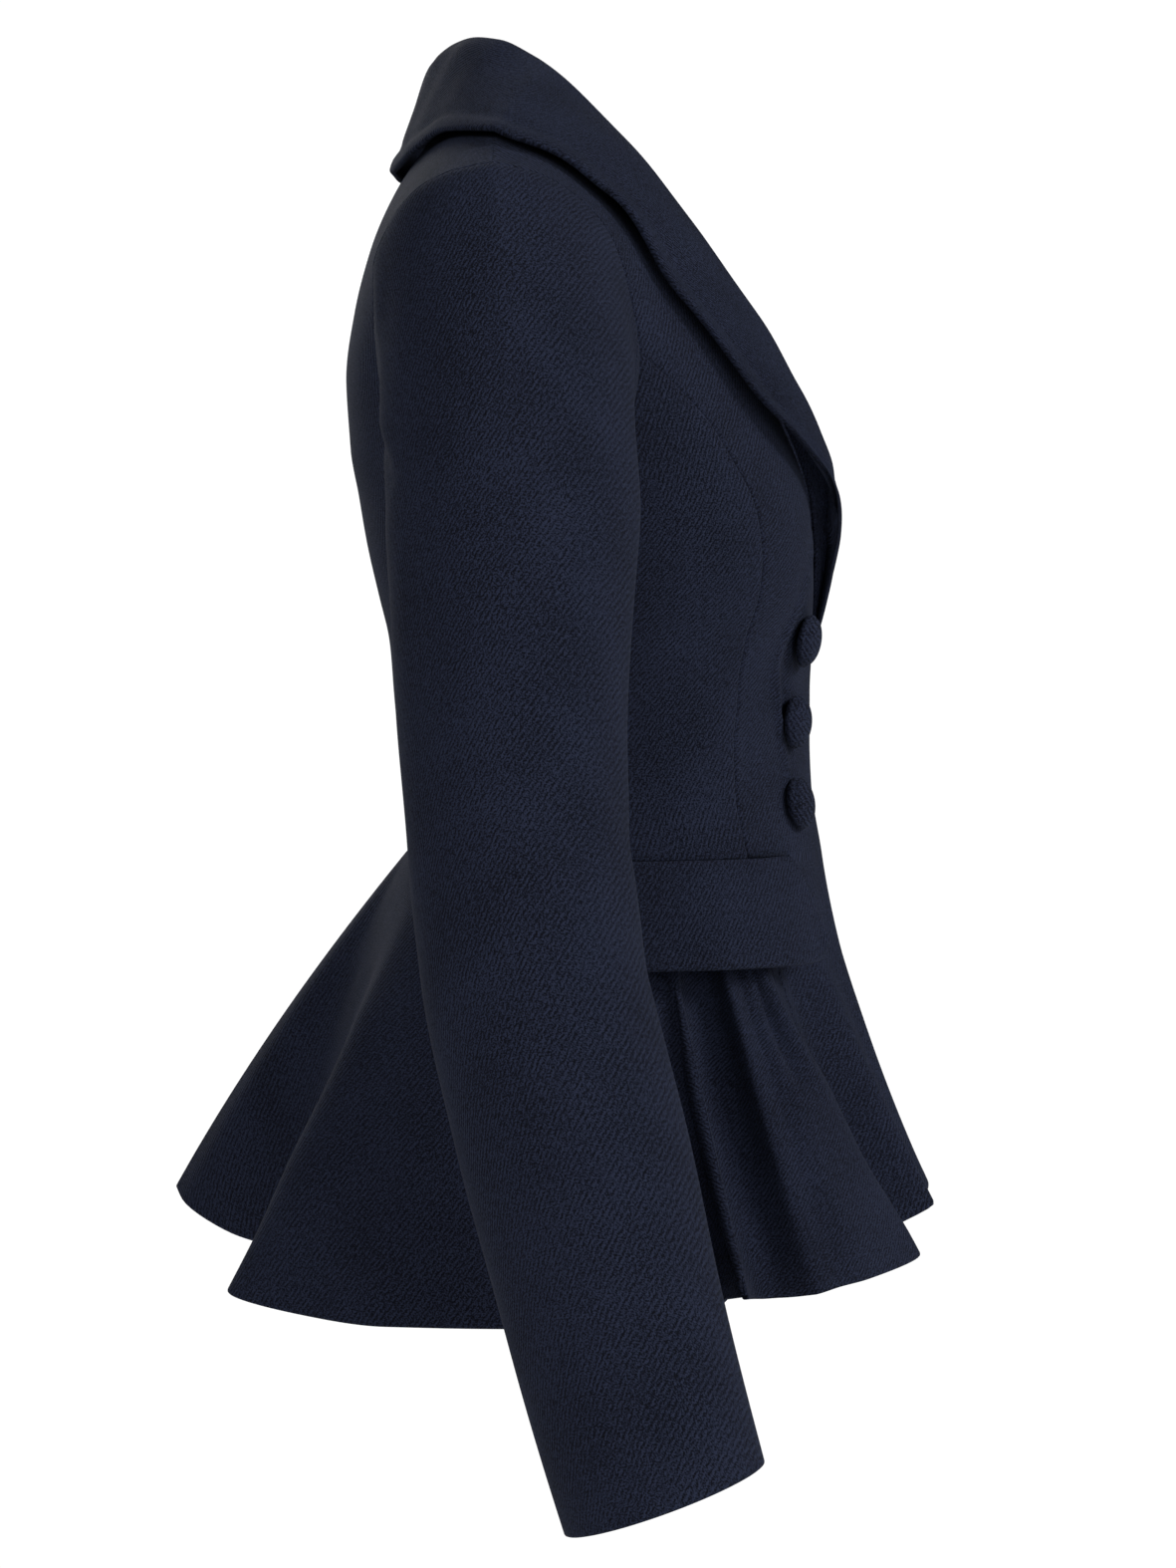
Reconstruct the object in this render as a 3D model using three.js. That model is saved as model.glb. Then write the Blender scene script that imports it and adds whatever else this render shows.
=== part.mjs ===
import * as THREE from "three";

// Millimetres. X runs to the wearer's left, -Y is the front, Z is up.
// The tables are for one side: x is the distance out from the centre plane, drop is the distance down.
const origin = { y: 51 };
const wall = 2;
const doubleWall = 3.5;
const seamGap = 0.3;
const overlap = 20;
const waistDrop = 356;
const shoulderDrop = -27;
const middleRing = 0.3;
const foldStraight = 0.8;

// The single cloth of the body, and the doubled cloth of the collar, the flaps and the buttons.
const wool = { color: 0x1d212d, roughness: 0.92, metalness: 0 };
const darkWool = { color: 0x202330, roughness: 0.9, metalness: 0 };

// Front half of the body, a row per level. mid is the centre, side the armhole edge or the side seam.
// turn is the arc of the section in degrees, flat flattens its middle, fall bends the level down to the side.
const frontRows = table(["drop", "midY", "sideX", "sideY", "sideZ", "turn", "flat", "fall"], [
  [-27, 50, 186, 51, -41, 16, 1, 1],
  [0, 22, 181, 30, -46, 24, 1, 1.15],
  [30, -4, 169, 10, -58, 36, 1, 1.3],
  [60, -27, 159, -3, -74, 46, 1.05, 1.5],
  [90, -50, 152, -11, -100, 56, 1.1, 1.8],
  [120, -70, 148, -15, -126, 66, 1.15, 2],
  [150, -85, 145, -10, -155, 76, 1.15, 2],
  [188, -95, 146, 17, -188, 90, 1.15, 2],
  [210, -97, 143, 17, -210, 90, 1.15, 2],
  [235, -99, 136, 14, -235, 90, 1.12, 2],
  [256, -99, 130, 11, -256, 90, 1.02, 2],
  [280, -98, 124, 8, -280, 90, 1, 2],
  [302, -98, 121, 6, -302, 90, 1, 2],
  [325, -99, 121, 5, -325, 90, 1, 2],
  [356, -104, 125, 3, -356, 90, 1.02, 2],
]);

// Back half of the body, the same columns.
const backRows = table(["drop", "midY", "sideX", "sideY", "sideZ", "turn", "flat", "fall"], [
  [-27, 50, 186, 51, -41, 16, 1, 1],
  [-8, 67, 183, 70, -45, 26, 1, 1.1],
  [15, 83, 177, 87, -54, 40, 1.1, 1.3],
  [40, 98, 169, 98, -68, 48, 1.3, 1.5],
  [70, 110, 162, 105, -88, 56, 1.5, 1.8],
  [100, 118, 157, 105, -112, 62, 1.6, 2],
  [135, 123, 151, 97, -138, 68, 1.5, 2],
  [165, 122, 146, 70, -168, 78, 1.4, 2],
  [188, 118, 146, 17, -188, 90, 1.3, 2],
  [210, 114, 143, 17, -210, 90, 1.25, 2],
  [235, 108.5, 136, 14, -235, 90, 1.2, 2],
  [256, 104, 130, 11, -256, 90, 1.15, 2],
  [280, 102, 124, 8, -280, 90, 1.1, 2],
  [302, 100, 121, 6, -302, 90, 1.05, 2],
  [325, 98, 121, 5, -325, 90, 1.05, 2],
  [356, 95, 125, 3, -356, 90, 1.05, 2],
]);
// Levels shared by the bodice panels; the princess seams leave the armhole at frontSplit and backSplit.
const levels = [
  -27, -18, -8, 3, 15, 40, 65, 90, 105, 118, 120.4, 128, 130.4, 142, 158, 178, 198, 218, 238, 253, 278, 304, 330, 356,
];
const frontSplit = 118;
const backSplit = 128;
const cup = { x: 84, z: -208, depth: 9, spreadX: 44, spreadZ: 52 };

// Edges and seams on the body, by the distance out from the centre plane.
const frontEdge = table(["drop", "x"], [
  [-27, 76],
  [0, 80],
  [30, 82],
  [60, 81],
  [90, 77],
  [120, 70],
  [150, 59],
  [180, 44],
  [205, 28],
  [225, 12],
  [238, 1],
  [253, -20],
  [280, -20],
  [356, -20],
]);
const backNeck = table(["x", "drop"], [
  [0, 14],
  [20, 12.5],
  [42, 6],
  [60, -6],
  [76, -27],
]);
const frontPrincess = table(["drop", "x"], [
  [118, 148.5],
  [124, 143],
  [135, 134],
  [150, 124],
  [170, 116],
  [190, 110],
  [210, 106],
  [236, 102],
  [267, 97],
  [290, 94],
  [320, 94],
  [356, 96],
]);
const backPrincess = table(["drop", "x"], [
  [128, 153],
  [134, 146],
  [150, 133],
  [175, 118],
  [200, 104],
  [240, 86],
  [280, 74],
  [320, 68],
  [356, 70],
]);

// Peplum, a row per fold: angle runs 0 at the centre front, 1 at the side, 2 at the centre back.
// mid is the ring under the flap, hem the lower edge.
const folds = table(["angle", "midX", "midY", "hemX", "hemY", "hemZ"], [
  [0, 0, -113.5, 0, -155, -514],
  [0.12, 22, -112.5, 26, -155.5, -517],
  [0.175, 34.5, -107, 38, -152, -520],
  [0.23, 47, -102, 50, -156, -522],
  [0.32, 62, -90, 66, -134, -533],
  [0.4, 79, -80, 78, -129, -537],
  [0.46, 93, -79, 88, -137, -539],
  [0.52, 104, -78.5, 97, -146, -541],
  [0.62, 115, -69, 138, -120, -547],
  [0.66, 115, -62.5, 149, -107, -549],
  [0.7, 123, -56, 160, -94, -551],
  [0.75, 120, -45, 160, -77, -552],
  [0.8, 136, -34.5, 189, -64, -553],
  [0.86, 131, -25, 171, -49, -553],
  [0.93, 144, -9, 190, -25, -556],
  [1.03, 147, 12, 170, 2, -559],
  [1.15, 146, 38, 189, 44, -563],
  [1.36, 136, 68, 181, 100, -563],
  [1.5, 120, 91, 161, 140, -560],
  [1.63, 98, 108, 132, 174, -553],
  [1.74, 71, 112, 92, 152, -549],
  [1.83, 48, 116, 66, 148, -545],
  [1.91, 28, 122.5, 42, 179, -537],
  [1.965, 12, 132.5, 16, 203, -525],
  [2, 0, 133.5, 0, 208, -519],
]);
const frontSkirtEnd = 0.385;
// Levels shared by the skirt of the front panel and the peplum, 0 at the waist and 1 at the hem.
const skirtLevels = [0, 0.13, 0.28, 0.33, 0.46, 0.64, 0.82, 1];

// Flap over the waist seam: angle is where each row hangs, low is its bottom edge.
const flapRows = table(["angle", "lowX", "lowY", "lowZ"], [
  [0.365, 72.5, -107, -403],
  [0.5, 97, -95, -405.5],
  [0.64, 120, -77, -405.5],
  [0.8, 141.5, -44, -405.5],
  [0.98, 152.5, 2, -405.5],
]);

// Shawl collar from the centre back to the break. neck is where it is sewn on, roll the top fold.
// The outer edge lies over the body at edgeX, edgeDown from the shoulder line (back is negative), lifted off it.
const collarRows = table(
  ["run", "neckX", "neckDrop", "rollX", "rollY", "rollZ", "edgeX", "edgeDown", "lift", "puff"],
  [
    [-0.09, -26, 11.5, -30, 74, 25, -38, -63, 8, 3],
    [0, 0, 14, 0, 77, 23, 0, -63, 8, 3],
    [0.09, 26, 11.5, 30, 74, 25, 38, -61, 7, 4],
    [0.17, 51, 1, 56, 65, 27, 74, -51, 5.5, 5],
    [0.25, 76, -27, 78, 49, 24, 113, -27, 6, 7],
    [0.31, 79, -12, 83, 33, 16, 143, -10, 6.8, 8],
    [0.35, 80, 2, 86, 19, 5, 161, 7, 6.8, 8],
    [0.42, 82, 28, 88, -9, -23, 156, 43, 6.5, 8],
    [0.5, 81, 58, 87, -40, -61, 146, 72, 7.5, 8],
    [0.55, 80, 76, 83, -58.5, -86, 135, 105, 7.5, 8],
    [0.61, 77, 108, 76, -78, -114, 122, 132, 8.5, 8],
    [0.67, 66, 134, 69, -90.5, -137, 109, 158, 9.5, 8],
    [0.73, 60, 154, 58, -101, -158, 96, 179, 11, 7.5],
    [0.78, 50, 170, 49, -107, -175, 80, 196, 12.5, 6],
    [0.83, 41, 186, 40, -109, -191, 62, 211, 13.5, 4.5],
    [0.87, 33, 198, 32, -109.5, -203, 48, 223, 13, 3],
    [0.92, 25, 211, 22, -110, -217, 33, 238, 11.5, 2],
    [0.96, 16, 222, 15, -109, -228, 23, 250, 9, 1.5],
    [1, 8, 232, 8, -106.5, -239, 15, 260, 6, 1],
  ],
);
const rollRadius = 5.5;

// Armhole: the level on the front and back halves met at each angle round the sleeve, 0 on top, 180 below.
const armhole = table(["angle", "front", "back"], [
  [0, -27, -27],
  [30, 3, -2],
  [60, 34, 30],
  [90, 75, 72],
  [120, 115, 118],
  [150, 155, 152],
  [180, 188, 188],
]);
// Sleeve sections: centre and half sizes across and front to back, from the upper arm to the cuff.
const sleeveRows = table(["drop", "x", "y", "across", "deep", "tilt"], [
  [205, 203, 42, 51, 56.5, 0],
  [279, 216, 42, 49, 52, 0],
  [349, 228, 38, 47, 49.5, 3],
  [399, 237, 32, 46, 49.5, 6],
  [466, 249, 17, 45, 49.5, 11],
  [542, 262, -2, 42, 46.5, 14],
  [625, 276, -25, 39, 43, 20],
]);
const cap = { reach: 62, fall: 24, lean: 0.16 };
const sleeveSplit = 115;
const armholeLift = { top: 0.5, under: 1.4 };

const button = { radius: 12.5, rim: 3.2, dome: 5, shank: 3, x: 56, drops: [255, 293.5, 332.5] };

// Rows of numbers turned into named columns.
function table(names, rows) {
  const columns = {};
  names.forEach((name, i) => {
    columns[name] = rows.map((row) => row[i]);
  });
  return columns;
}

// Smooth value of a column between rows, with no overshoot past a row.
function follow(rows, key, name, at) {
  const xs = rows[key];
  const ys = rows[name];
  const last = xs.length - 1;
  const step = (k) => (ys[k + 1] - ys[k]) / (xs[k + 1] - xs[k]);
  const slope = (k) => {
    if (k === 0 || k === last) return step(k === 0 ? 0 : last - 1);
    const before = step(k - 1);
    const after = step(k);
    return before * after > 0 ? (2 * before * after) / (before + after) : 0;
  };
  const value = Math.min(Math.max(at, xs[0]), xs[last]);
  let k = 0;
  while (k < last - 1 && value > xs[k + 1]) k += 1;
  const width = xs[k + 1] - xs[k];
  const t = (value - xs[k]) / width;
  const a = (1 + 2 * t) * (1 - t) ** 2;
  const b = t * (1 - t) ** 2;
  const c = t * t * (3 - 2 * t);
  const d = t * t * (t - 1);
  return a * ys[k] + b * width * slope(k) + c * ys[k + 1] + d * width * slope(k + 1);
}

function radians(degrees) {
  return (degrees * Math.PI) / 180;
}

function smooth(from, to, value) {
  const t = Math.min(Math.max((value - from) / (to - from), 0), 1);
  return t * t * (3 - 2 * t);
}

function mix(a, b, t) {
  return a + (b - a) * t;
}

function spread(from, to, count) {
  return Array.from({ length: count + 1 }, (_, i) => mix(from, to, i / count));
}

// Body surface of one half: s is 0 on the centre plane and 1 at the side.
function bodyPoint(rows, s, drop) {
  const at = (name) => follow(rows, "drop", name, drop);
  const turn = radians(at("turn"));
  const x = (at("sideX") * Math.sin(turn * s)) / Math.sin(turn);
  const round = ((1 - Math.cos(turn * s)) / (1 - Math.cos(turn))) ** at("flat");
  const y = mix(at("midY"), at("sideY"), round);
  const z = mix(-drop, at("sideZ"), Math.abs(s) ** at("fall"));
  const nearCup = ((x - cup.x) / cup.spreadX) ** 2 + ((z - cup.z) / cup.spreadZ) ** 2;
  const push = rows === frontRows ? cup.depth * Math.exp(-nearCup) : 0;
  return new THREE.Vector3(x, y - push, z);
}

// The share s that lies a distance x out from the centre plane at a level.
function shareAt(rows, x, drop) {
  const turn = radians(follow(rows, "drop", "turn", drop));
  const ratio = (x * Math.sin(turn)) / follow(rows, "drop", "sideX", drop);
  return Math.min(Math.asin(Math.min(ratio, 1)) / turn, 1);
}

// The waist seam: the front half up to angle 1, then the back half.
function waistPoint(angle) {
  return angle <= 1 ? bodyPoint(frontRows, angle, waistDrop) : bodyPoint(backRows, 2 - angle, waistDrop);
}

// Peplum surface: a curve from the waist seam through the middle ring to the hem, one for each angle.
// In front the folds run nearly straight from the middle ring down.
function skirtPoint(angle, t) {
  const turn = Math.abs(angle);
  const at = (name) => follow(folds, "angle", name, turn);
  const waist = waistPoint(turn);
  const straight = t > middleRing ? foldStraight * (1 - smooth(0.9, 1.1, turn)) * smooth(0.02, 0.16, turn) : 0;
  const hang = (t - middleRing) / (1 - middleRing);
  const top = mix(((t - middleRing) * (t - 1)) / middleRing, 0, straight);
  const middle = mix((t * (t - 1)) / (middleRing * (middleRing - 1)), 1 - hang, straight);
  const low = mix(t * hang, hang, straight);
  const x = top * waist.x + middle * at("midX") + low * at("hemX");
  const y = top * waist.y + middle * at("midY") + low * at("hemY");
  return new THREE.Vector3(Math.sign(angle || 1) * x, y, mix(waist.z, at("hemZ"), t));
}

// Unit normal of a surface of two parameters, pointing away from the hollow.
function normalOf(surface, u, v, size = 1e-3, range = [-Infinity, Infinity]) {
  const low = Math.max(u - size, range[0]);
  const high = Math.min(u + size, range[1]);
  const along = surface(high, v).sub(surface(low, v));
  const down = surface(u, v + size).sub(surface(u, v - size));
  return along.cross(down).normalize();
}

function bodySpot(rows, s, drop) {
  const surface = (a, b) => bodyPoint(rows, a, b);
  const level = Math.min(Math.max(drop, shoulderDrop + 0.01), waistDrop - 0.01);
  const normal = normalOf(surface, s, level, 1e-3, [-1, 1]);
  if (rows === frontRows) normal.negate();
  if (drop === waistDrop) normal.setZ(0);
  const ridge = new THREE.Vector3(0.34, 0, 0.94);
  const share = 1 - smooth(shoulderDrop, shoulderDrop + 9, drop);
  ridge.x *= Math.sign(s);
  return { point: bodyPoint(rows, s, drop), normal: normal.lerp(ridge, share).normalize() };
}

function skirtSpot(angle, t) {
  const normal = normalOf(skirtPoint, angle, Math.min(Math.max(t, 0.002), 0.998), 1e-3, [-1, 2]);
  return { point: skirtPoint(angle, t), normal: normal.negate() };
}

// A cloth of even thickness: a grid of places, the same grid moved in, and walls round its edges.
function clothSolid(name, slot, side, grid, thickness, present = () => true) {
  const rowCount = grid.length - 1;
  const columnCount = grid[0].length - 1;
  const has = (i, j) => i >= 0 && j >= 0 && i < columnCount && j < rowCount && present(i, j);
  const corners = new Map();
  const positions = [];
  const corner = (i, j, layer) => {
    const key = `${i},${j},${layer}`;
    if (!corners.has(key)) {
      const { point, normal } = grid[j][i];
      const spot = point.clone().addScaledVector(normal, -thickness * layer);
      corners.set(key, positions.length / 3);
      positions.push(side * spot.x, spot.y - origin.y, spot.z);
    }
    return corners.get(key);
  };
  const middle = grid[rowCount >> 1][columnCount >> 2];
  const nextColumn = grid[rowCount >> 1][(columnCount >> 2) + 1].point.clone().sub(middle.point);
  const nextRow = grid[(rowCount >> 1) + 1][columnCount >> 2].point.clone().sub(middle.point);
  const outward = nextColumn.cross(nextRow).dot(middle.normal) * side > 0;
  const index = [];
  const quad = (a, b, c, d) => {
    if (outward) index.push(a, b, c, a, c, d);
    else index.push(a, c, b, a, d, c);
  };
  for (let j = 0; j < rowCount; j += 1) {
    for (let i = 0; i < columnCount; i += 1) {
      if (!has(i, j)) continue;
      quad(corner(i, j, 0), corner(i + 1, j, 0), corner(i + 1, j + 1, 0), corner(i, j + 1, 0));
      quad(corner(i, j, 1), corner(i, j + 1, 1), corner(i + 1, j + 1, 1), corner(i + 1, j, 1));
      const edges = [
        [i, j - 1, i, j, i + 1, j],
        [i + 1, j, i + 1, j, i + 1, j + 1],
        [i, j + 1, i + 1, j + 1, i, j + 1],
        [i - 1, j, i, j + 1, i, j],
      ];
      edges.forEach(([nextI, nextJ, fromI, fromJ, toI, toJ]) => {
        if (has(nextI, nextJ)) return;
        quad(corner(fromI, fromJ, 0), corner(fromI, fromJ, 1), corner(toI, toJ, 1), corner(toI, toJ, 0));
      });
    }
  }
  return meshOf(name, slot, positions, index);
}

function meshOf(name, slot, positions, index) {
  const geometry = new THREE.BufferGeometry();
  geometry.setAttribute("position", new THREE.Float32BufferAttribute(positions, 3));
  geometry.setIndex(index);
  geometry.computeVertexNormals();
  const mesh = new THREE.Mesh(geometry, new THREE.MeshStandardMaterial(slot));
  mesh.name = name;
  return mesh;
}

// The left front passes under the right one: moved in by one cloth and a gap where they lap.
function tucked(spot, side) {
  if (side < 0) return spot;
  const depth = (wall + 3 * seamGap) * (1 - smooth(overlap + 2, overlap + 30, spot.point.x));
  spot.point.addScaledVector(spot.normal, -depth);
  return spot;
}

// Front panel from the shoulder to the hem: the body, then the skirt as far as frontSkirtEnd.
function frontPanel(side) {
  const skirtColumns = 12;
  const columns = 15;
  const gapShare = seamGap / 2 / 150;
  const inner = (drop) => shareAt(frontRows, follow(frontEdge, "drop", "x", drop), drop);
  const outer = (drop) => {
    if (drop <= frontSplit) return 1;
    return Math.min(shareAt(frontRows, follow(frontPrincess, "drop", "x", drop), drop) - gapShare, 1);
  };
  const waistIn = inner(waistDrop);
  const share = (frontSkirtEnd - gapShare - waistIn) / (outer(waistDrop) - waistIn);
  const fractions = [...spread(0, share, skirtColumns), ...spread(share, 1, columns - skirtColumns).slice(1)];
  const grid = levels.map((drop) =>
    fractions.map((f) => tucked(bodySpot(frontRows, mix(inner(drop), outer(drop), f), drop), side)),
  );
  skirtLevels.slice(1).forEach((t) => {
    grid.push(fractions.map((f) => {
      const angle = Math.min(mix(waistIn, outer(waistDrop), f), frontSkirtEnd - gapShare);
      return tucked(skirtSpot(angle, t), side);
    }));
  });
  const name = side < 0 ? "front_right" : "front_left";
  const present = (i, j) => j < levels.length - 1 || i < skirtColumns;
  return clothSolid(name, wool, side, grid, wall, present);
}

// A bodice panel between a princess seam and the side seam.
function sidePanel(name, rows, princess, split, side) {
  const gapShare = seamGap / 2 / 150;
  const grid = levels.filter((drop) => drop > split).map((drop) => {
    const inner = shareAt(rows, follow(princess, "drop", "x", drop), drop) + gapShare;
    return spread(inner, 1 - gapShare, 4).map((s) => bodySpot(rows, s, drop));
  });
  return clothSolid(name, wool, side, grid, wall);
}

// Back panel from the neckline and the shoulders to the waist, cut on the fold.
function backPanel() {
  const shares = levels.map((drop) => (drop - shoulderDrop) / (waistDrop - shoulderDrop));
  const neckShare = shareAt(backRows, backNeck.x[backNeck.x.length - 1], shoulderDrop);
  const half = [...spread(0, neckShare, 4), ...spread(neckShare, 1, 4).slice(1)];
  const fractions = [...half.slice(1).reverse().map((f) => -f), ...half];
  const gapShare = seamGap / 2 / 150;
  const outer = (drop) => {
    if (drop <= backSplit + 1) return 1;
    return shareAt(backRows, follow(backPrincess, "drop", "x", drop), drop) - gapShare;
  };
  const grid = shares.map((share) =>
    fractions.map((f) => {
      const x = follow(backRows, "drop", "sideX", shoulderDrop) * Math.abs(f);
      const top = follow(backNeck, "x", "drop", x) + (Math.abs(f) >= neckShare ? seamGap : 0);
      const drop = mix(top, waistDrop, share);
      return bodySpot(backRows, f * outer(drop), drop);
    }),
  );
  return clothSolid("back", wool, 1, grid, wall);
}

// Peplum half, from the front panel's skirt to the centre back, with columns at each fold.
function peplum(side) {
  const gapShare = seamGap / 2 / 150;
  const stops = [frontSkirtEnd + gapShare, ...folds.angle.filter((angle) => angle > frontSkirtEnd)];
  stops[stops.length - 1] = 2 - gapShare;
  const angles = [stops[0]];
  stops.slice(1).forEach((stop, k) => {
    const steps = Math.max(Math.round((stop - stops[k]) / 0.045), 1);
    angles.push(...spread(stops[k], stop, steps).slice(1));
  });
  const grid = skirtLevels.map((t) =>
    angles.map((angle) => {
      const spot = skirtSpot(angle, t);
      spot.point.z -= seamGap * (1 - t);
      if (t === 0) spot.normal.setZ(0).normalize();
      if (angle === angles[angles.length - 1]) {
        spot.point.x = seamGap / 2;
        spot.normal.setX(0).normalize();
      }
      return spot;
    }),
  );
  return clothSolid(side < 0 ? "peplum_right" : "peplum_left", wool, side, grid, wall);
}

// Flap surface: hangs from the waist seam, bowed a little away from the peplum.
function flapPoint(angle, t) {
  const at = (name) => follow(flapRows, "angle", name, angle);
  const waist = waistPoint(angle);
  const out = new THREE.Vector3(waist.x / 125, waist.y / 104, 0).normalize();
  const point = waist.clone().addScaledVector(out, doubleWall + 0.6);
  const low = new THREE.Vector3(at("lowX"), at("lowY"), at("lowZ"));
  return point.lerp(low, t).addScaledVector(out, 1.5 * Math.sin(Math.PI * t));
}

// Pocket flap with its lower front corner taken up a little.
function flap(side) {
  const gapShare = 0.001;
  const grid = spread(0, 1, 5).map((t) =>
    spread(0, 1, 10).map((f) => {
      const front = flapRows.angle[0] + 0.03 * (1 - t);
      const angle = mix(front, flapRows.angle[flapRows.angle.length - 1], f) - gapShare;
      const corner = t === 1 && f === 0 ? 0.93 : t;
      const point = flapPoint(angle, corner);
      const normal = normalOf(flapPoint, angle, corner, 1e-3);
      return { point, normal: normal.negate() };
    }),
  );
  return clothSolid(side < 0 ? "flap_right" : "flap_left", darkWool, side, grid, doubleWall);
}

// The spot on the neckline where the collar is sewn on.
function neckSpot(across) {
  const back = across < 0.25;
  const x = follow(collarRows, "run", "neckX", across);
  const drop = back ? follow(backNeck, "x", "drop", x) : follow(collarRows, "run", "neckDrop", across);
  const rows = back ? backRows : frontRows;
  return bodySpot(rows, shareAt(rows, back ? x : follow(frontEdge, "drop", "x", drop), drop), drop);
}

// Collar surface: the section stands up from the neck seam, rolls over and falls to the outer edge.
function collarPoint(run, w) {
  const across = Math.abs(run);
  const at = (name) => follow(collarRows, "run", name, across);
  const neck = neckSpot(across);
  const base = neck.point.clone().addScaledVector(neck.normal, seamGap + 0.8);
  const edgeRows = at("edgeDown") < 0 ? backRows : frontRows;
  const edgeDrop = shoulderDrop + Math.abs(at("edgeDown"));
  const under = bodySpot(edgeRows, shareAt(edgeRows, at("edgeX"), edgeDrop), edgeDrop);
  const edge = under.point.clone().addScaledVector(under.normal, at("lift"));
  const roll = new THREE.Vector3(at("rollX"), at("rollY"), at("rollZ"));
  const rise = roll.clone().sub(base.clone().lerp(edge, 0.3)).normalize();
  const away = edge.clone().sub(base);
  away.addScaledVector(rise, -away.dot(rise)).normalize();
  const size = Math.min(rollRadius, base.distanceTo(edge) / 3);
  const rising = roll.clone().addScaledVector(away, -size).addScaledVector(rise, -size);
  const falling = roll.clone().addScaledVector(away, size).addScaledVector(rise, -size);
  const leaf = falling.clone().lerp(edge, 0.5).addScaledVector(rise, at("puff"));
  const curve = new THREE.CatmullRomCurve3([base, rising, roll, falling, leaf, edge], false, "centripetal");
  const point = curve.getPoint(w);
  point.x *= Math.sign(run || 1);
  return point;
}

// Shawl collar in one piece; its seam edge is made parallel to the body under it.
function collar() {
  const sections = [0, 0.1, 0.2, 0.27, 0.34, 0.4, 0.46, 0.53, 0.6, 0.7, 0.8, 0.9, 1];
  const runs = [...spread(-1, 0, 20), ...spread(0, 1, 20).slice(1)];
  const grid = sections.map((w) =>
    runs.map((run) => {
      const level = Math.min(Math.max(w, 0.002), 0.998);
      const normal = normalOf(collarPoint, run, level, 2e-3, [-1, 1]);
      if (w === 0) {
        const seat = neckSpot(Math.abs(run)).normal;
        seat.x *= Math.sign(run || 1);
        normal.addScaledVector(seat, -normal.dot(seat)).normalize();
      }
      return { point: collarPoint(run, w), normal };
    }),
  );
  return clothSolid("collar", darkWool, 1, grid, doubleWall);
}

// Armhole edge round the sleeve, lifted just clear of the body panels.
function armholePoint(angle) {
  const front = angle >= 0 && angle <= 180;
  const turn = angle > 180 ? 360 - angle : Math.abs(angle);
  const rows = front ? frontRows : backRows;
  const point = bodyPoint(rows, 1, follow(armhole, "angle", front ? "front" : "back", turn));
  point.x += mix(armholeLift.top, armholeLift.under, smooth(60, 170, turn));
  return point;
}

// Sleeve section point: angle 0 outside, 90 in front, 180 next to the body.
function sleeveRing(angle, drop) {
  const at = (name) => follow(sleeveRows, "drop", name, drop);
  const round = radians(angle);
  const forward = at("deep") * Math.sin(round);
  const point = new THREE.Vector3(at("x") + at("across") * Math.cos(round), at("y") - forward, -drop);
  point.z += forward * Math.tan(radians(at("tilt")));
  return point;
}

// Sleeve surface: t under 1 is the cap, from the armhole to the first section; beyond that, down the arm.
function sleevePoint(angle, t) {
  const first = sleeveRows.drop[0];
  const last = sleeveRows.drop[sleeveRows.drop.length - 1];
  if (t >= 1) return sleeveRing(angle, mix(first, last, t - 1));
  const start = armholePoint(angle);
  const end = sleeveRing(angle, first);
  const high = (1 + Math.cos(radians(angle))) / 2;
  const leave = new THREE.Vector3(cap.reach * (0.35 + high), 0, -cap.fall * high - 30 * (1 - high));
  const fallen = start.distanceTo(end);
  const arrive = new THREE.Vector3(cap.lean, 0, -1).multiplyScalar(fallen);
  const a = (1 + 2 * t) * (1 - t) ** 2;
  const b = t * (1 - t) ** 2;
  const c = t * t * (3 - 2 * t);
  const d = t * t * (t - 1);
  const point = start.multiplyScalar(a).addScaledVector(leave, b);
  return point.addScaledVector(end, c).addScaledVector(arrive, d);
}

// Sleeve piece between two angles of the sleeve surface.
function sleevePiece(name, from, to, columns, side) {
  const lengths = [0, 0.12, 0.26, 0.42, 0.6, 0.8, 1, 1.17, 1.34, 1.5, 1.66, 1.83, 2];
  const gap = 0.15;
  const grid = lengths.map((t) =>
    spread(from + gap, to - gap, columns).map((angle) => {
      const low = Math.min(Math.max(t, 0.002), 1.998);
      const normal = normalOf(sleevePoint, angle, low, 2e-3);
      return { point: sleevePoint(angle, t), normal };
    }),
  );
  return clothSolid(name, wool, side, grid, wall);
}

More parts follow.
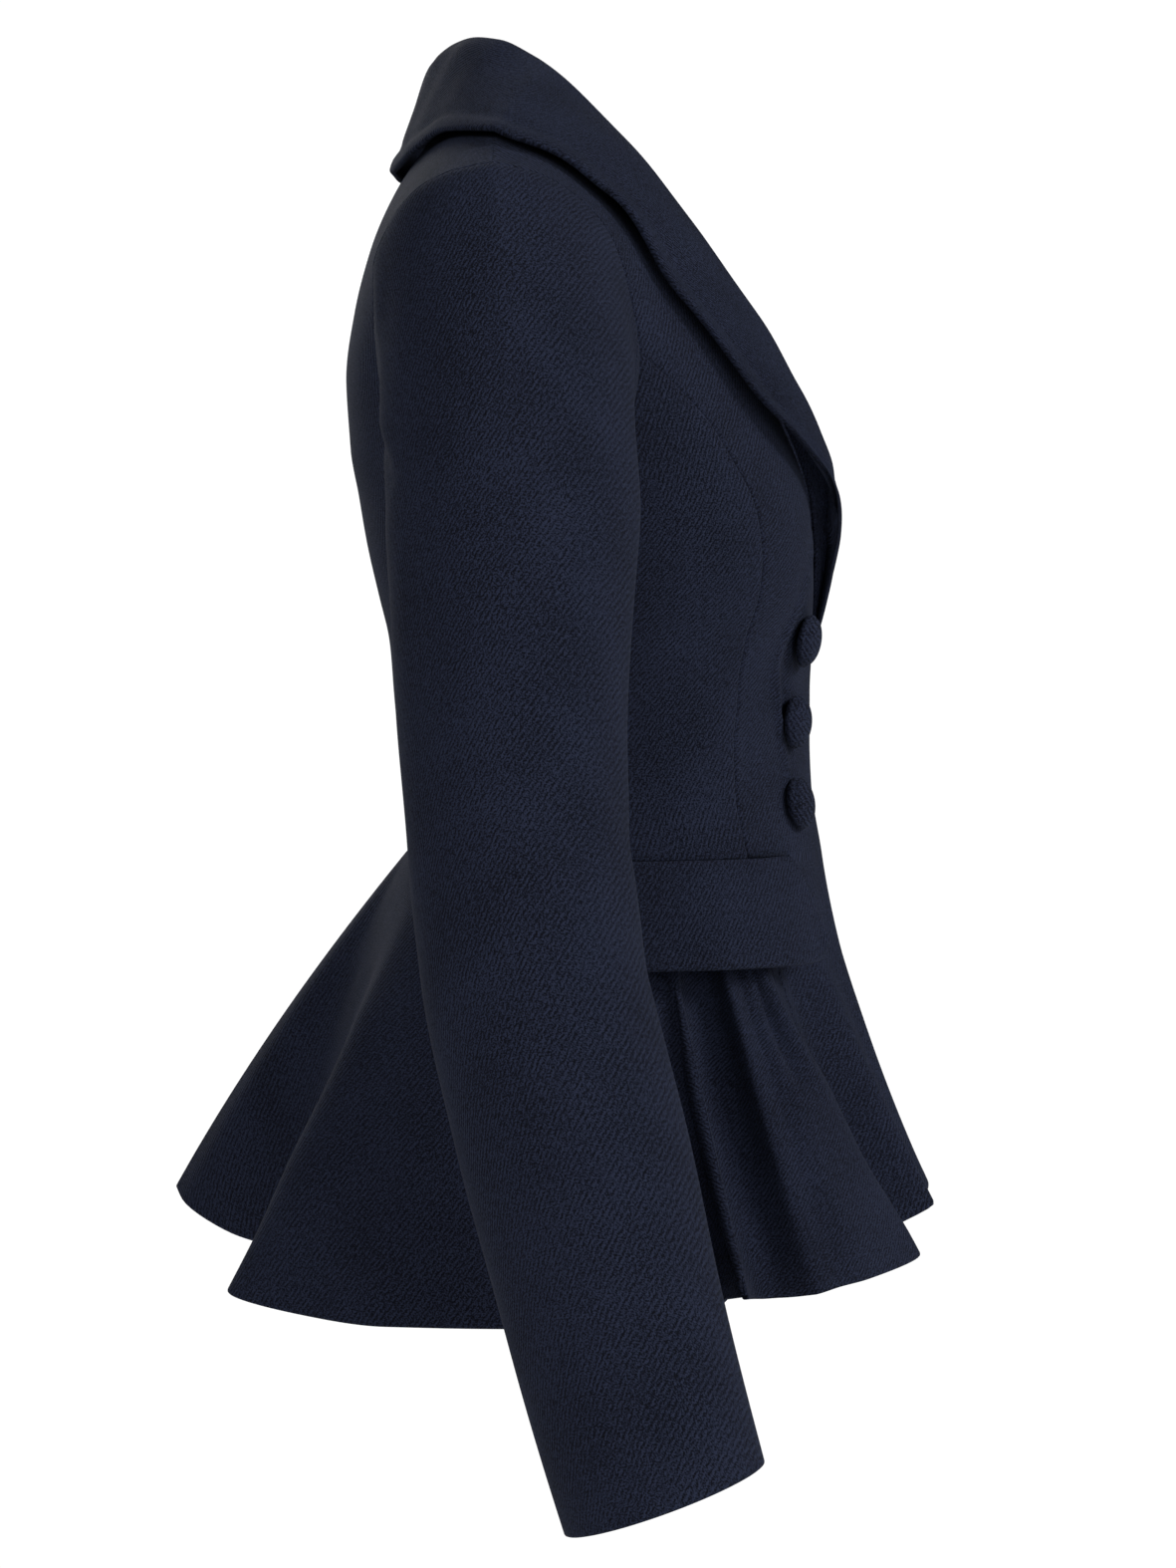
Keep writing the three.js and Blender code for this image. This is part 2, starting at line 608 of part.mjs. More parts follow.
// A domed button on a short shank, turned about its own axis and set on the right front.
function buttonSolid(name, drop) {
  const outline = [
    [0, 0],
    [button.shank, 0],
    [button.shank, 1],
    [button.radius - 1.6, 1],
    [button.radius, 1 + button.rim * 0.6],
    [button.radius - 0.6, 1 + button.rim + 0.8],
    [button.radius * 0.72, 1 + button.rim + button.dome * 0.62],
    [button.radius * 0.38, 1 + button.rim + button.dome * 0.92],
    [0, 1 + button.rim + button.dome],
  ];
  const round = 18;
  const share = shareAt(frontRows, button.x, drop);
  const { point, normal } = bodySpot(frontRows, share, drop);
  const facing = new THREE.Quaternion().setFromUnitVectors(new THREE.Vector3(0, 0, 1), normal);
  const place = (radius, height, turn) => {
    const spot = new THREE.Vector3(radius * Math.cos(turn), radius * Math.sin(turn), height + seamGap + 0.2);
    spot.applyQuaternion(facing).add(point);
    return [-spot.x, spot.y - origin.y, spot.z];
  };
  const positions = [...place(0, outline[0][1], 0)];
  const rings = outline.slice(1, -1);
  rings.forEach(([radius, height]) => {
    for (let k = 0; k < round; k += 1) positions.push(...place(radius, height, (2 * Math.PI * k) / round));
  });
  positions.push(...place(0, outline[outline.length - 1][1], 0));
  const index = [];
  const at = (ring, k) => 1 + ring * round + (k % round);
  const tip = 1 + rings.length * round;
  for (let k = 0; k < round; k += 1) {
    index.push(0, at(0, k), at(0, k + 1));
    index.push(tip, at(rings.length - 1, k + 1), at(rings.length - 1, k));
    for (let ring = 0; ring < rings.length - 1; ring += 1) {
      index.push(at(ring, k), at(ring + 1, k), at(ring + 1, k + 1));
      index.push(at(ring, k), at(ring + 1, k + 1), at(ring, k + 1));
    }
  }
  return meshOf(name, darkWool, positions, index);
}

const jacket = new THREE.Group();
jacket.name = "peplum_jacket";
[-1, 1].forEach((side) => {
  const end = side < 0 ? "right" : "left";
  jacket.add(frontPanel(side));
  jacket.add(sidePanel(`side_front_${end}`, frontRows, frontPrincess, frontSplit, side));
  jacket.add(sidePanel(`side_back_${end}`, backRows, backPrincess, backSplit, side));
  jacket.add(peplum(side));
  jacket.add(flap(side));
  jacket.add(sleevePiece(`sleeve_top_${end}`, -sleeveSplit, sleeveSplit, 14, side));
  jacket.add(sleevePiece(`sleeve_under_${end}`, sleeveSplit, 360 - sleeveSplit, 8, side));
});
jacket.add(backPanel());
jacket.add(collar());
button.drops.forEach((drop, k) => jacket.add(buttonSolid(`button_${k + 1}`, drop)));

export default jacket;
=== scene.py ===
import math
import bpy
import numpy as np
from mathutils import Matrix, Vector


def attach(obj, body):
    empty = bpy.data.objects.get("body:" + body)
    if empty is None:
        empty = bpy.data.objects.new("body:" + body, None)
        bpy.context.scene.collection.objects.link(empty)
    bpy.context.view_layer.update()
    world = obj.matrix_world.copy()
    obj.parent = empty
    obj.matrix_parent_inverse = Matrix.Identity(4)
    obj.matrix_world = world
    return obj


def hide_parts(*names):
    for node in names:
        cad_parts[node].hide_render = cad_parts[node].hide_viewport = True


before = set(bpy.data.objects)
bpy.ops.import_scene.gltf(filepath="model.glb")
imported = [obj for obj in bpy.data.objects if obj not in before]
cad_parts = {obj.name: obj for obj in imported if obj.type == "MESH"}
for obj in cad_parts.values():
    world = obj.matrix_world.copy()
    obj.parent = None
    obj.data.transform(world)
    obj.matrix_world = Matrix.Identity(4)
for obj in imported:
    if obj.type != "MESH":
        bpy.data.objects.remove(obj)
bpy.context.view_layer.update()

# Millimetres until a mesh is made. x runs to the wearer's left, -y is the front, z is up, and a drop is -z.
# The tables are for one side, and their y is the frame's y plus depthOrigin.
depthOrigin = 51
seamGap = 0.3
# A share of a body section, or an angle of 1 round the peplum, is about this long.
shareLength = 150
halfGap = seamGap / 2 / shareLength
waistDrop = 356
shoulderDrop = -27
# The levels where the princess seams leave the armhole.
frontSplit = 118
backSplit = 128
smallStep = 1e-3
cup = {"x": 84, "z": -208, "depth": 9, "spreadX": 44, "spreadZ": 52}
shoulderRidge = {"out": 0.34, "up": 0.94, "blend": 9}
skirtShape = {"ring": 0.3, "straight": 0.8, "startsOver": (0.02, 0.16), "endsOver": (0.9, 1.1)}
flapShape = {"halfWidth": 125, "halfDepth": 104, "off": 0.7, "bow": 1.5}
cloth = {"thin": 1.9, "double": 3.4, "pitch": 3.0, "grainSteps": 24}


def table(names, rows):
    # A dictionary of columns, one array for each name.
    return dict(zip(names.split(), np.array(rows, dtype=float).T))


sectionNames = "drop midY sideX sideY sideZ turn flat fall"
frontRows = table(sectionNames, [
    [-27, 50, 186, 51, -41, 16, 1, 1],
    [0, 22, 181, 30, -46, 24, 1, 1.15],
    [30, -4, 169, 10, -58, 36, 1, 1.3],
    [60, -27, 159, -3, -74, 46, 1.05, 1.5],
    [90, -50, 152, -11, -100, 56, 1.1, 1.8],
    [120, -70, 148, -15, -126, 66, 1.15, 2],
    [150, -85, 145, -10, -155, 76, 1.15, 2],
    [188, -95, 146, 17, -188, 90, 1.15, 2],
    [210, -97, 143, 17, -210, 90, 1.15, 2],
    [235, -99, 136, 14, -235, 90, 1.12, 2],
    [256, -99, 130, 11, -256, 90, 1.02, 2],
    [280, -98, 124, 8, -280, 90, 1, 2],
    [302, -98, 121, 6, -302, 90, 1, 2],
    [325, -99, 121, 5, -325, 90, 1, 2],
    [356, -104, 125, 3, -356, 90, 1.02, 2],
])
backRows = table(sectionNames, [
    [-27, 50, 186, 51, -41, 16, 1, 1],
    [-8, 67, 183, 70, -45, 26, 1, 1.1],
    [15, 83, 177, 87, -54, 40, 1.1, 1.3],
    [40, 98, 169, 98, -68, 48, 1.3, 1.5],
    [70, 110, 162, 105, -88, 56, 1.5, 1.8],
    [100, 118, 157, 105, -112, 62, 1.6, 2],
    [135, 123, 151, 97, -138, 68, 1.5, 2],
    [165, 122, 146, 70, -168, 78, 1.4, 2],
    [188, 118, 146, 17, -188, 90, 1.3, 2],
    [210, 114, 143, 17, -210, 90, 1.25, 2],
    [235, 108.5, 136, 14, -235, 90, 1.2, 2],
    [256, 104, 130, 11, -256, 90, 1.15, 2],
    [280, 102, 124, 8, -280, 90, 1.1, 2],
    [302, 100, 121, 6, -302, 90, 1.05, 2],
    [325, 98, 121, 5, -325, 90, 1.05, 2],
    [356, 95, 125, 3, -356, 90, 1.05, 2],
])
# Edges and seams on the body, by the distance out from the centre plane.
frontEdge = table("drop x", [
    [-27, 76], [0, 80], [30, 82], [60, 81], [90, 77], [120, 70], [150, 59], [180, 44], [205, 28],
    [225, 12], [238, 1], [253, -20], [280, -20], [356, -20],
])
backNeck = table("x drop", [[0, 14], [20, 12.5], [42, 6], [60, -6], [76, -27]])
frontPrincess = table("drop x", [
    [118, 148.5], [124, 143], [135, 134], [150, 124], [170, 116], [190, 110], [210, 106],
    [236, 102], [267, 97], [290, 94], [320, 94], [356, 96],
])
backPrincess = table("drop x", [
    [128, 153], [134, 146], [150, 133], [175, 118], [200, 104], [240, 86], [280, 74], [320, 68], [356, 70],
])
# Peplum, a row for each fold: angle is 0 at the centre front, 1 at the side and 2 at the centre back.
folds = table("angle midX midY hemX hemY hemZ", [
    [0, 0, -113.5, 0, -155, -514],
    [0.12, 22, -112.5, 26, -155.5, -517],
    [0.175, 34.5, -107, 38, -152, -520],
    [0.23, 47, -102, 50, -156, -522],
    [0.32, 62, -90, 66, -134, -533],
    [0.4, 79, -80, 78, -129, -537],
    [0.46, 93, -79, 88, -137, -539],
    [0.52, 104, -78.5, 97, -146, -541],
    [0.62, 115, -69, 138, -120, -547],
    [0.66, 115, -62.5, 149, -107, -549],
    [0.7, 123, -56, 160, -94, -551],
    [0.75, 120, -45, 160, -77, -552],
    [0.8, 136, -34.5, 189, -64, -553],
    [0.86, 131, -25, 171, -49, -553],
    [0.93, 144, -9, 190, -25, -556],
    [1.03, 147, 12, 170, 2, -559],
    [1.15, 146, 38, 189, 44, -563],
    [1.36, 136, 68, 181, 100, -563],
    [1.5, 120, 91, 161, 140, -560],
    [1.63, 98, 108, 132, 174, -553],
    [1.74, 71, 112, 92, 152, -549],
    [1.83, 48, 116, 66, 148, -545],
    [1.91, 28, 122.5, 42, 179, -537],
    [1.965, 12, 132.5, 16, 203, -525],
    [2, 0, 133.5, 0, 208, -519],
])
frontSkirtEnd = 0.385
flapRows = table("angle lowX lowY lowZ", [
    [0.365, 72.5, -107, -403],
    [0.5, 97, -95, -405.5],
    [0.64, 120, -77, -405.5],
    [0.8, 141.5, -44, -405.5],
    [0.98, 152.5, 2, -405.5],
])
collarRows = table("run neckX neckDrop rollX rollY rollZ edgeX edgeDown lift puff", [
    [-0.09, -26, 11.5, -30, 74, 25, -38, -63, 8, 3],
    [0, 0, 14, 0, 77, 23, 0, -63, 8, 3],
    [0.09, 26, 11.5, 30, 74, 25, 38, -61, 7, 4],
    [0.17, 51, 1, 56, 65, 27, 74, -51, 5.5, 5],
    [0.25, 76, -27, 78, 49, 24, 113, -27, 6, 7],
    [0.31, 79, -12, 83, 33, 16, 143, -10, 6.8, 8],
    [0.35, 80, 2, 86, 19, 5, 161, 7, 6.8, 8],
    [0.42, 82, 28, 88, -9, -23, 156, 43, 6.5, 8],
    [0.5, 81, 58, 87, -40, -61, 146, 72, 7.5, 8],
    [0.55, 80, 76, 83, -58.5, -86, 135, 105, 7.5, 8],
    [0.61, 77, 108, 76, -78, -114, 122, 132, 8.5, 8],
    [0.67, 66, 134, 69, -90.5, -137, 109, 158, 9.5, 8],
    [0.73, 60, 154, 58, -101, -158, 96, 179, 11, 7.5],
    [0.78, 50, 170, 49, -107, -175, 80, 196, 12.5, 6],
    [0.83, 41, 186, 40, -109, -191, 62, 211, 13.5, 4.5],
    [0.87, 33, 198, 32, -109.5, -203, 48, 223, 13, 3],
    [0.92, 25, 211, 22, -110, -217, 33, 238, 11.5, 2],
    [0.96, 16, 222, 15, -109, -228, 23, 250, 9, 1.5],
    [1, 8, 232, 8, -106.5, -239, 15, 260, 6, 1],
])
collarShape = {"rollRadius": 5.5, "off": 0.8, "riseFrom": 0.3, "leafAt": 0.5, "shoulderRun": 0.25}
# Levels of the armhole by the angle round it: 0 at the shoulder, 90 in front or behind, 180 under the arm.
armhole = table("angle front back", [
    [0, -27, -27], [30, 3, -2], [60, 34, 30], [90, 75, 72], [120, 115, 118], [150, 155, 152], [180, 188, 188],
])
armholeGap = {"top": 0.2, "under": 0.25, "over": (60, 170)}
sleeveRows = table("drop x y across deep tilt", [
    [205, 203, 42, 51, 56.5, 0],
    [279, 216, 42, 49, 52, 0],
    [349, 228, 38, 47, 49.5, 3],
    [399, 237, 32, 46, 49.5, 6],
    [466, 249, 17, 45, 49.5, 11],
    [542, 262, -2, 42, 46.5, 14],
    [625, 276, -25, 39, 43, 20],
])
cap = {"reach": 62, "least": 0.35, "fall": 24, "underFall": 30, "lean": 0.16}
sleeveSplit = 115


def follow(rows, key, name, at):
    # A column between its rows: a cubic whose slope at a row is the harmonic mean of the steps beside it,
    # and 0 at a turn.
    xs, ys = rows[key], rows[name]
    step = np.diff(ys) / np.diff(xs)
    product = step[:-1] * step[1:]
    total = np.where(product > 0, step[:-1] + step[1:], 1)
    slope = np.concatenate([step[:1], np.where(product > 0, 2 * product / total, 0), step[-1:]])
    value = np.clip(at, xs[0], xs[-1])
    k = np.clip(np.searchsorted(xs, value, side="right") - 1, 0, len(xs) - 2)
    width = xs[k + 1] - xs[k]
    t = (value - xs[k]) / width
    start = (1 + 2 * t) * (1 - t) ** 2 * ys[k] + t * (1 - t) ** 2 * width * slope[k]
    return start + t * t * (3 - 2 * t) * ys[k + 1] + t * t * (t - 1) * width * slope[k + 1]


def smooth(low, high, value):
    # 0 below low, 1 above high, and 3t^2 - 2t^3 between them.
    t = np.clip((value - low) / (high - low), 0, 1)
    return t * t * (3 - 2 * t)


def mix(a, b, t):
    # The share t of the way from a to b.
    return a + (b - a) * t


def vectors(x, y, z):
    # Points from their three measures.
    return np.stack(np.broadcast_arrays(x, y, z), axis=-1).astype(float)


def unit(v):
    # The vector divided by its length.
    return v / np.maximum(np.linalg.norm(v, axis=-1, keepdims=True), 1e-9)


def dot(a, b):
    # The sum of the products of two vectors' measures.
    return np.sum(a * b, axis=-1, keepdims=True)


def bodyPoint(rows, s, drop):
    # Half of a body section: x is sideX sin(turn s) / sin(turn), y goes from midY to sideY by the share
    # ((1 - cos(turn s)) / (1 - cos(turn)))^flat, and z falls from the level to sideZ by s^fall. The front also
    # swells softly at the cup.
    at = {name: follow(rows, "drop", name, drop) for name in rows}
    turn = np.radians(at["turn"])
    x = at["sideX"] * np.sin(turn * s) / np.sin(turn)
    arc = ((1 - np.cos(turn * s)) / (1 - np.cos(turn))) ** at["flat"]
    y = mix(at["midY"], at["sideY"], arc)
    z = mix(-drop, at["sideZ"], np.abs(s) ** at["fall"])
    if rows is frontRows:
        near = ((x - cup["x"]) / cup["spreadX"]) ** 2 + ((z - cup["z"]) / cup["spreadZ"]) ** 2
        y = y - cup["depth"] * np.exp(-near)
    return vectors(x, y, z)


def shareAt(rows, x, drop):
    # The share s at a distance x from the centre plane: arcsin(x sin(turn) / sideX) / turn.
    turn = np.radians(follow(rows, "drop", "turn", drop))
    ratio = x * np.sin(turn) / follow(rows, "drop", "sideX", drop)
    return np.minimum(np.arcsin(np.clip(ratio, -1, 1)) / turn, 1)


def normalOf(surface, u, v, low, high):
    # Unit normal: a small step along u, which stays between low and high, crossed with a small step along v.
    along = surface(np.minimum(u + smallStep, high), v) - surface(np.maximum(u - smallStep, low), v)
    return unit(np.cross(along, surface(u, v + smallStep) - surface(u, v - smallStep)))


def bodyNormal(rows, s, drop):
    # Normal of the body, mixed with the shoulder ridge's own one near the shoulder line.
    inside = 0.01
    level = np.clip(drop, shoulderDrop + inside, waistDrop - inside)
    normal = normalOf(lambda a, b: bodyPoint(rows, a, b), s, level, -1, 1)
    if rows is frontRows:
        normal = -normal
    ridge = vectors(shoulderRidge["out"] * np.sign(s), 0, shoulderRidge["up"]) + np.zeros_like(normal)
    share = (1 - smooth(shoulderDrop, shoulderDrop + shoulderRidge["blend"], drop))[..., None]
    return unit(mix(normal, ridge, share))


def waistPoint(angle):
    # The waist seam: the front's section for angles 0 to 1, and the back's, from its far end, for 1 to 2.
    front = bodyPoint(frontRows, np.minimum(angle, 1), waistDrop)
    back = bodyPoint(backRows, np.clip(2 - angle, -1, 1), waistDrop)
    return np.where((angle <= 1)[..., None], front, back)


def skirtPoint(angle, t):
    # Peplum: the parabola through the waist seam, the middle ring and the hem at each angle; z falls evenly.
    # In front it is mixed with the straight line from the middle ring to the hem.
    turn = np.abs(angle)
    at = {name: follow(folds, "angle", name, turn) for name in folds}
    waist = waistPoint(turn)
    ring = skirtShape["ring"]
    straight = skirtShape["straight"] * (1 - smooth(*skirtShape["endsOver"], turn))
    straight = straight * smooth(*skirtShape["startsOver"], turn) * (t > ring)
    hang = (t - ring) / (1 - ring)
    top = mix((t - ring) * (t - 1) / ring, 0, straight)
    middle = mix(t * (t - 1) / (ring * (ring - 1)), 1 - hang, straight)
    low = mix(t * hang, hang, straight)
    x = top * waist[..., 0] + middle * at["midX"] + low * at["hemX"]
    y = top * waist[..., 1] + middle * at["midY"] + low * at["hemY"]
    return vectors(np.where(angle < 0, -x, x), y, mix(waist[..., 2], at["hemZ"], t))


def flapPoint(angle, t):
    # Flap: a straight line from the waist seam to the lower edge, bowed out by a sine.
    at = {name: follow(flapRows, "angle", name, angle) for name in flapRows}
    waist = waistPoint(angle)
    out = unit(vectors(waist[..., 0] / flapShape["halfWidth"], waist[..., 1] / flapShape["halfDepth"], 0))
    low = vectors(at["lowX"], at["lowY"], at["lowZ"])
    bow = (flapShape["bow"] * np.sin(math.pi * t))[..., None]
    top = waist + out * (cloth["double"] + flapShape["off"])
    return mix(top, low, t[..., None]) + out * bow


def neckSpot(across):
    # The place on the neckline where the collar is sewn on, and the body's normal there: the back's up to the
    # shoulder, the front's after it.
    x = follow(collarRows, "run", "neckX", across)
    backDrop = follow(backNeck, "x", "drop", x)
    frontDrop = follow(collarRows, "run", "neckDrop", across)
    behind = (across < collarShape["shoulderRun"])[..., None]
    backShare = shareAt(backRows, x, backDrop)
    frontShare = shareAt(frontRows, follow(frontEdge, "drop", "x", frontDrop), frontDrop)
    backPoint = bodyPoint(backRows, backShare, backDrop)
    backNormal = bodyNormal(backRows, backShare, backDrop)
    point = np.where(behind, backPoint, bodyPoint(frontRows, frontShare, frontDrop))
    return point, np.where(behind, backNormal, bodyNormal(frontRows, frontShare, frontDrop))


def collarPoint(run, w):
    # Collar: a centripetal Catmull-Rom curve from the neck seam up, over the roll and down to the outer edge.
    # run and w have the same shape. The six places on the curve come from the collar's rows, and one more at
    # each end gives its slope there.
    across = np.abs(run)
    at = {name: follow(collarRows, "run", name, across) for name in collarRows}
    neck, neckNormal = neckSpot(across)
    base = neck + neckNormal * (seamGap + collarShape["off"])
    edgeDrop = shoulderDrop + np.abs(at["edgeDown"])
    frontShare = shareAt(frontRows, at["edgeX"], edgeDrop)
    backShare = shareAt(backRows, at["edgeX"], edgeDrop)
    behind = (at["edgeDown"] < 0)[..., None]
    backPoint = bodyPoint(backRows, backShare, edgeDrop)
    backNormal = bodyNormal(backRows, backShare, edgeDrop)
    under = np.where(behind, backPoint, bodyPoint(frontRows, frontShare, edgeDrop))
    lifted = np.where(behind, backNormal, bodyNormal(frontRows, frontShare, edgeDrop))
    edge = under + lifted * at["lift"][..., None]
    roll = vectors(at["rollX"], at["rollY"], at["rollZ"])
    rise = unit(roll - mix(base, edge, collarShape["riseFrom"]))
    away = edge - base
    away = unit(away - rise * dot(away, rise))
    size = np.minimum(collarShape["rollRadius"], np.linalg.norm(edge - base, axis=-1) / 3)[..., None]
    rising = roll - away * size - rise * size
    falling = roll + away * size - rise * size
    leaf = mix(falling, edge, collarShape["leafAt"]) + rise * at["puff"][..., None]
    control = np.stack([2 * base - rising, base, rising, roll, falling, leaf, edge, 2 * edge - leaf])
    spans = len(control) - 3
    k = np.clip(np.floor(w * spans).astype(int), 0, spans - 1)
    weight = (w * spans - k)[..., None]
    p = [np.take_along_axis(control, (k + step)[None, ..., None], axis=0)[0] for step in range(4)]
    hops = [np.linalg.norm(p[n + 1] - p[n], axis=-1, keepdims=True) for n in range(3)]
    gaps = [np.maximum(hop, 1e-6) ** 0.5 for hop in hops]
    leave = (p[1] - p[0]) / gaps[0] - (p[2] - p[0]) / (gaps[0] + gaps[1]) + (p[2] - p[1]) / gaps[1]
    arrive = (p[2] - p[1]) / gaps[1] - (p[3] - p[1]) / (gaps[1] + gaps[2]) + (p[3] - p[2]) / gaps[2]
    leave, arrive = leave * gaps[1], arrive * gaps[1]
    point = p[1] + leave * weight + (3 * (p[2] - p[1]) - 2 * leave - arrive) * weight ** 2
    point = point + (2 * (p[1] - p[2]) + leave + arrive) * weight ** 3
    point[..., 0] *= np.where(run < 0, -1, 1)
    return point


def armholePoint(angle):
    # The armhole: the outer end of the front's or the back's section at the angle's level, a hairline out.
    front = (angle >= 0) & (angle <= 180)
    turn = np.where(angle > 180, 360 - angle, np.abs(angle))
    before = bodyPoint(frontRows, 1, follow(armhole, "angle", "front", turn))
    behind = bodyPoint(backRows, 1, follow(armhole, "angle", "back", turn))
    point = np.where(front[..., None], before, behind)
    point[..., 0] += mix(armholeGap["top"], armholeGap["under"], smooth(*armholeGap["over"], turn))
    return point


def sleeveRing(angle, drop):
    # Sleeve section: an ellipse with angle 0 outside and 90 in front, tipped so that its front hangs higher.
    at = {name: follow(sleeveRows, "drop", name, drop) for name in sleeveRows}
    turn = np.radians(angle)
    forward = at["deep"] * np.sin(turn)
    x = at["x"] + at["across"] * np.cos(turn)
    return vectors(x, at["y"] - forward, forward * np.tan(np.radians(at["tilt"])) - drop)


def sleevePoint(angle, t):
    # Sleeve: up to t = 1 a cubic from the armhole, leaving outwards, to the first section, and after it the
    # sections down the arm.
    first, last = sleeveRows["drop"][0], sleeveRows["drop"][-1]
    arm = sleeveRing(angle, mix(first, last, np.maximum(t, 1) - 1))
    start = armholePoint(angle)
    end = sleeveRing(angle, np.zeros_like(t) + first)
    high = (1 + np.cos(np.radians(angle))) / 2
    leaveDown = -cap["fall"] * high - cap["underFall"] * (1 - high)
    leave = vectors(cap["reach"] * (cap["least"] + high), 0, leaveDown)
    arrive = vectors(cap["lean"], 0, -1) * np.linalg.norm(end - start, axis=-1, keepdims=True)
    s = np.minimum(t, 1)[..., None]
    top = start * (1 + 2 * s) * (1 - s) ** 2 + leave * s * (1 - s) ** 2
    top = top + end * s * s * (3 - 2 * s) + arrive * s * s * (s - 1)
    return np.where((t >= 1)[..., None], arm, top)


def steps(length, pitch=None, start=True, end=True):
    # Shares from 0 to 1 of a length, about a pitch apart. Beside an edge they are closer together, at the
    # distances in crowd, so that it can round over.
    pitch = pitch or cloth["pitch"]
    crowd = np.array([0, 0.22, 0.55, 1, 1.6, 2.5, 3.8])
    low = crowd if start else np.array([0.0])
    high = length - (crowd if end else np.array([0.0]))[::-1]
    count = max(int((high[0] - low[-1]) / pitch), 2)
    return np.concatenate([low, np.linspace(low[-1], high[0], count + 1)[1:-1], high]) / length


def lengthsAlong(points, axis):
    # Distance travelled along a grid's rows or columns.
    hop = np.linalg.norm(np.diff(points, axis=axis), axis=-1)
    start = np.zeros_like(np.take(hop, [0], axis=axis))
    return np.concatenate([start, np.cumsum(hop, axis=axis)], axis=axis)


def gridNormals(points):
    # Unit normal of a grid: the step along a row crossed with the step down a column.
    return unit(np.cross(np.gradient(points, axis=1), np.gradient(points, axis=0)))


def edgeDistances(points, cells):
    # Distance of each place from the cloth's edges along its row and its column: left, right, top, bottom.
    used = np.zeros(points.shape[:2], bool)
    for j, i in ((0, 0), (0, 1), (1, 0), (1, 1)):
        used[j:j + cells.shape[0], i:i + cells.shape[1]] |= cells
    rows, columns = used.shape
    along, down = lengthsAlong(points, 1), lengthsAlong(points, 0)
    j, i = np.arange(rows), np.arange(columns)
    left, right = used.argmax(1), columns - 1 - used[:, ::-1].argmax(1)
    top, bottom = used.argmax(0), rows - 1 - used[::-1].argmax(0)
    return {
        "left": along - along[j, left][:, None],
        "right": along[j, right][:, None] - along,
        "top": down - down[top, i][None],
        "bottom": down[bottom, i][None] - down,
    }


creaseEnds = {"least": 0.35, "swell": 0.65, "from": 0.08, "to": 0.92}


def creases(u, v, rows):
    # Soft troughs (negative) and ridges (positive): each row is a line from one place to another, in the
    # piece's own measures. Its depth falls away as exp(-(distance / width)^2), and to its ends as a sine.
    lift = np.zeros(np.broadcast(u, v).shape)
    for u0, v0, u1, v1, width, depth in rows:
        du, dv = u1 - u0, v1 - v0
        along = np.clip(((u - u0) * du + (v - v0) * dv) / (du * du + dv * dv), 0, 1)
        near = ((u - u0 - along * du) ** 2 + (v - v0 - along * dv) ** 2) / width ** 2
        swell = np.sin(math.pi * np.clip(along, creaseEnds["from"], creaseEnds["to"]))
        lift = lift + depth * np.exp(-near) * (creaseEnds["least"] + creaseEnds["swell"] * swell)
    return lift


waves = {"count": 5, "shortest": 0.7, "longest": 1.6}


def undulation(u, v, height, length, seed):
    # Slow unevenness: a sum of sine waves about a length apart, with seeded directions, starts and stretches,
    # divided by the square root of their number.
    random = np.random.default_rng(seed)
    lowest, highest = [0, 0, waves["shortest"]], [math.pi, 2 * math.pi, waves["longest"]]
    total = 0
    for turn, start, stretch in random.uniform(lowest, highest, (waves["count"], 3)):
        along = u * math.cos(turn) + v * math.sin(turn)
        total = total + np.sin(along * 2 * math.pi / (length * stretch) + start)
    return height * total / waves["count"] ** 0.5


# How far a sewn edge sinks, over what width, and the radius that it rounds over.
seam = (0.3, 0.9, 0.45)
princessSeam = (0.5, 0.9, 0.5)
sleeveSeam = (0.2, 0.9, 0.4)
# Creases fade out over this distance from a seam, so that both sides of it stay level.
seamFade = 10


def bodyGrain(rows, points, s, drop):
    # The grain of a body panel: the distance round the body from the centre plane, and the height.
    share = s[..., :1] * np.linspace(0, 1, cloth["grainSteps"])
    start = lengthsAlong(bodyPoint(rows, share, np.broadcast_to(drop[..., :1], share.shape)), 1)[:, -1:]
    return np.copysign(start, s[..., :1]) + lengthsAlong(points, 1), points[..., 2]


class Socket:
    # One shader socket; an operator on it adds a Math node.
    def __init__(self, maker, socket):
        self.maker, self.socket = maker, socket

    def calculate(self, operation, *values):
        return self.maker.node("ShaderNodeMath", {"operation": operation}, dict(enumerate(values)))

    def __add__(self, other):
        return self.calculate("ADD", self, other)

    def __sub__(self, other):
        return self.calculate("SUBTRACT", self, other)

    def __mul__(self, other):
        return self.calculate("MULTIPLY", self, other)

    def sine(self):
        return self.calculate("SINE", self)


class Finish:
    # A material with one principled shader, and the nodes that feed it.
    def __init__(self, name, fixed):
        self.material = bpy.data.materials.new(name)
        self.material.use_nodes = True
        self.tree = self.material.node_tree
        self.shader = self.tree.nodes["Principled BSDF"]
        for socket, value in fixed.items():
            self.shader.inputs[socket].default_value = value

    def node(self, kind, settings, inputs, output=0):
        # Adds a node. An input that is a Socket is linked, and any other is set.
        made = self.tree.nodes.new(kind)
        for key, value in settings.items():
            setattr(made, key, value)
        for key, value in inputs.items():
            if isinstance(value, Socket):
                self.tree.links.new(value.socket, made.inputs[key])
            else:
                made.inputs[key].default_value = value
        return Socket(self, made.outputs[output])

    def feed(self, name, value):
        # Links a socket to the shader's own input.
        self.tree.links.new(value.socket, self.shader.inputs[name])


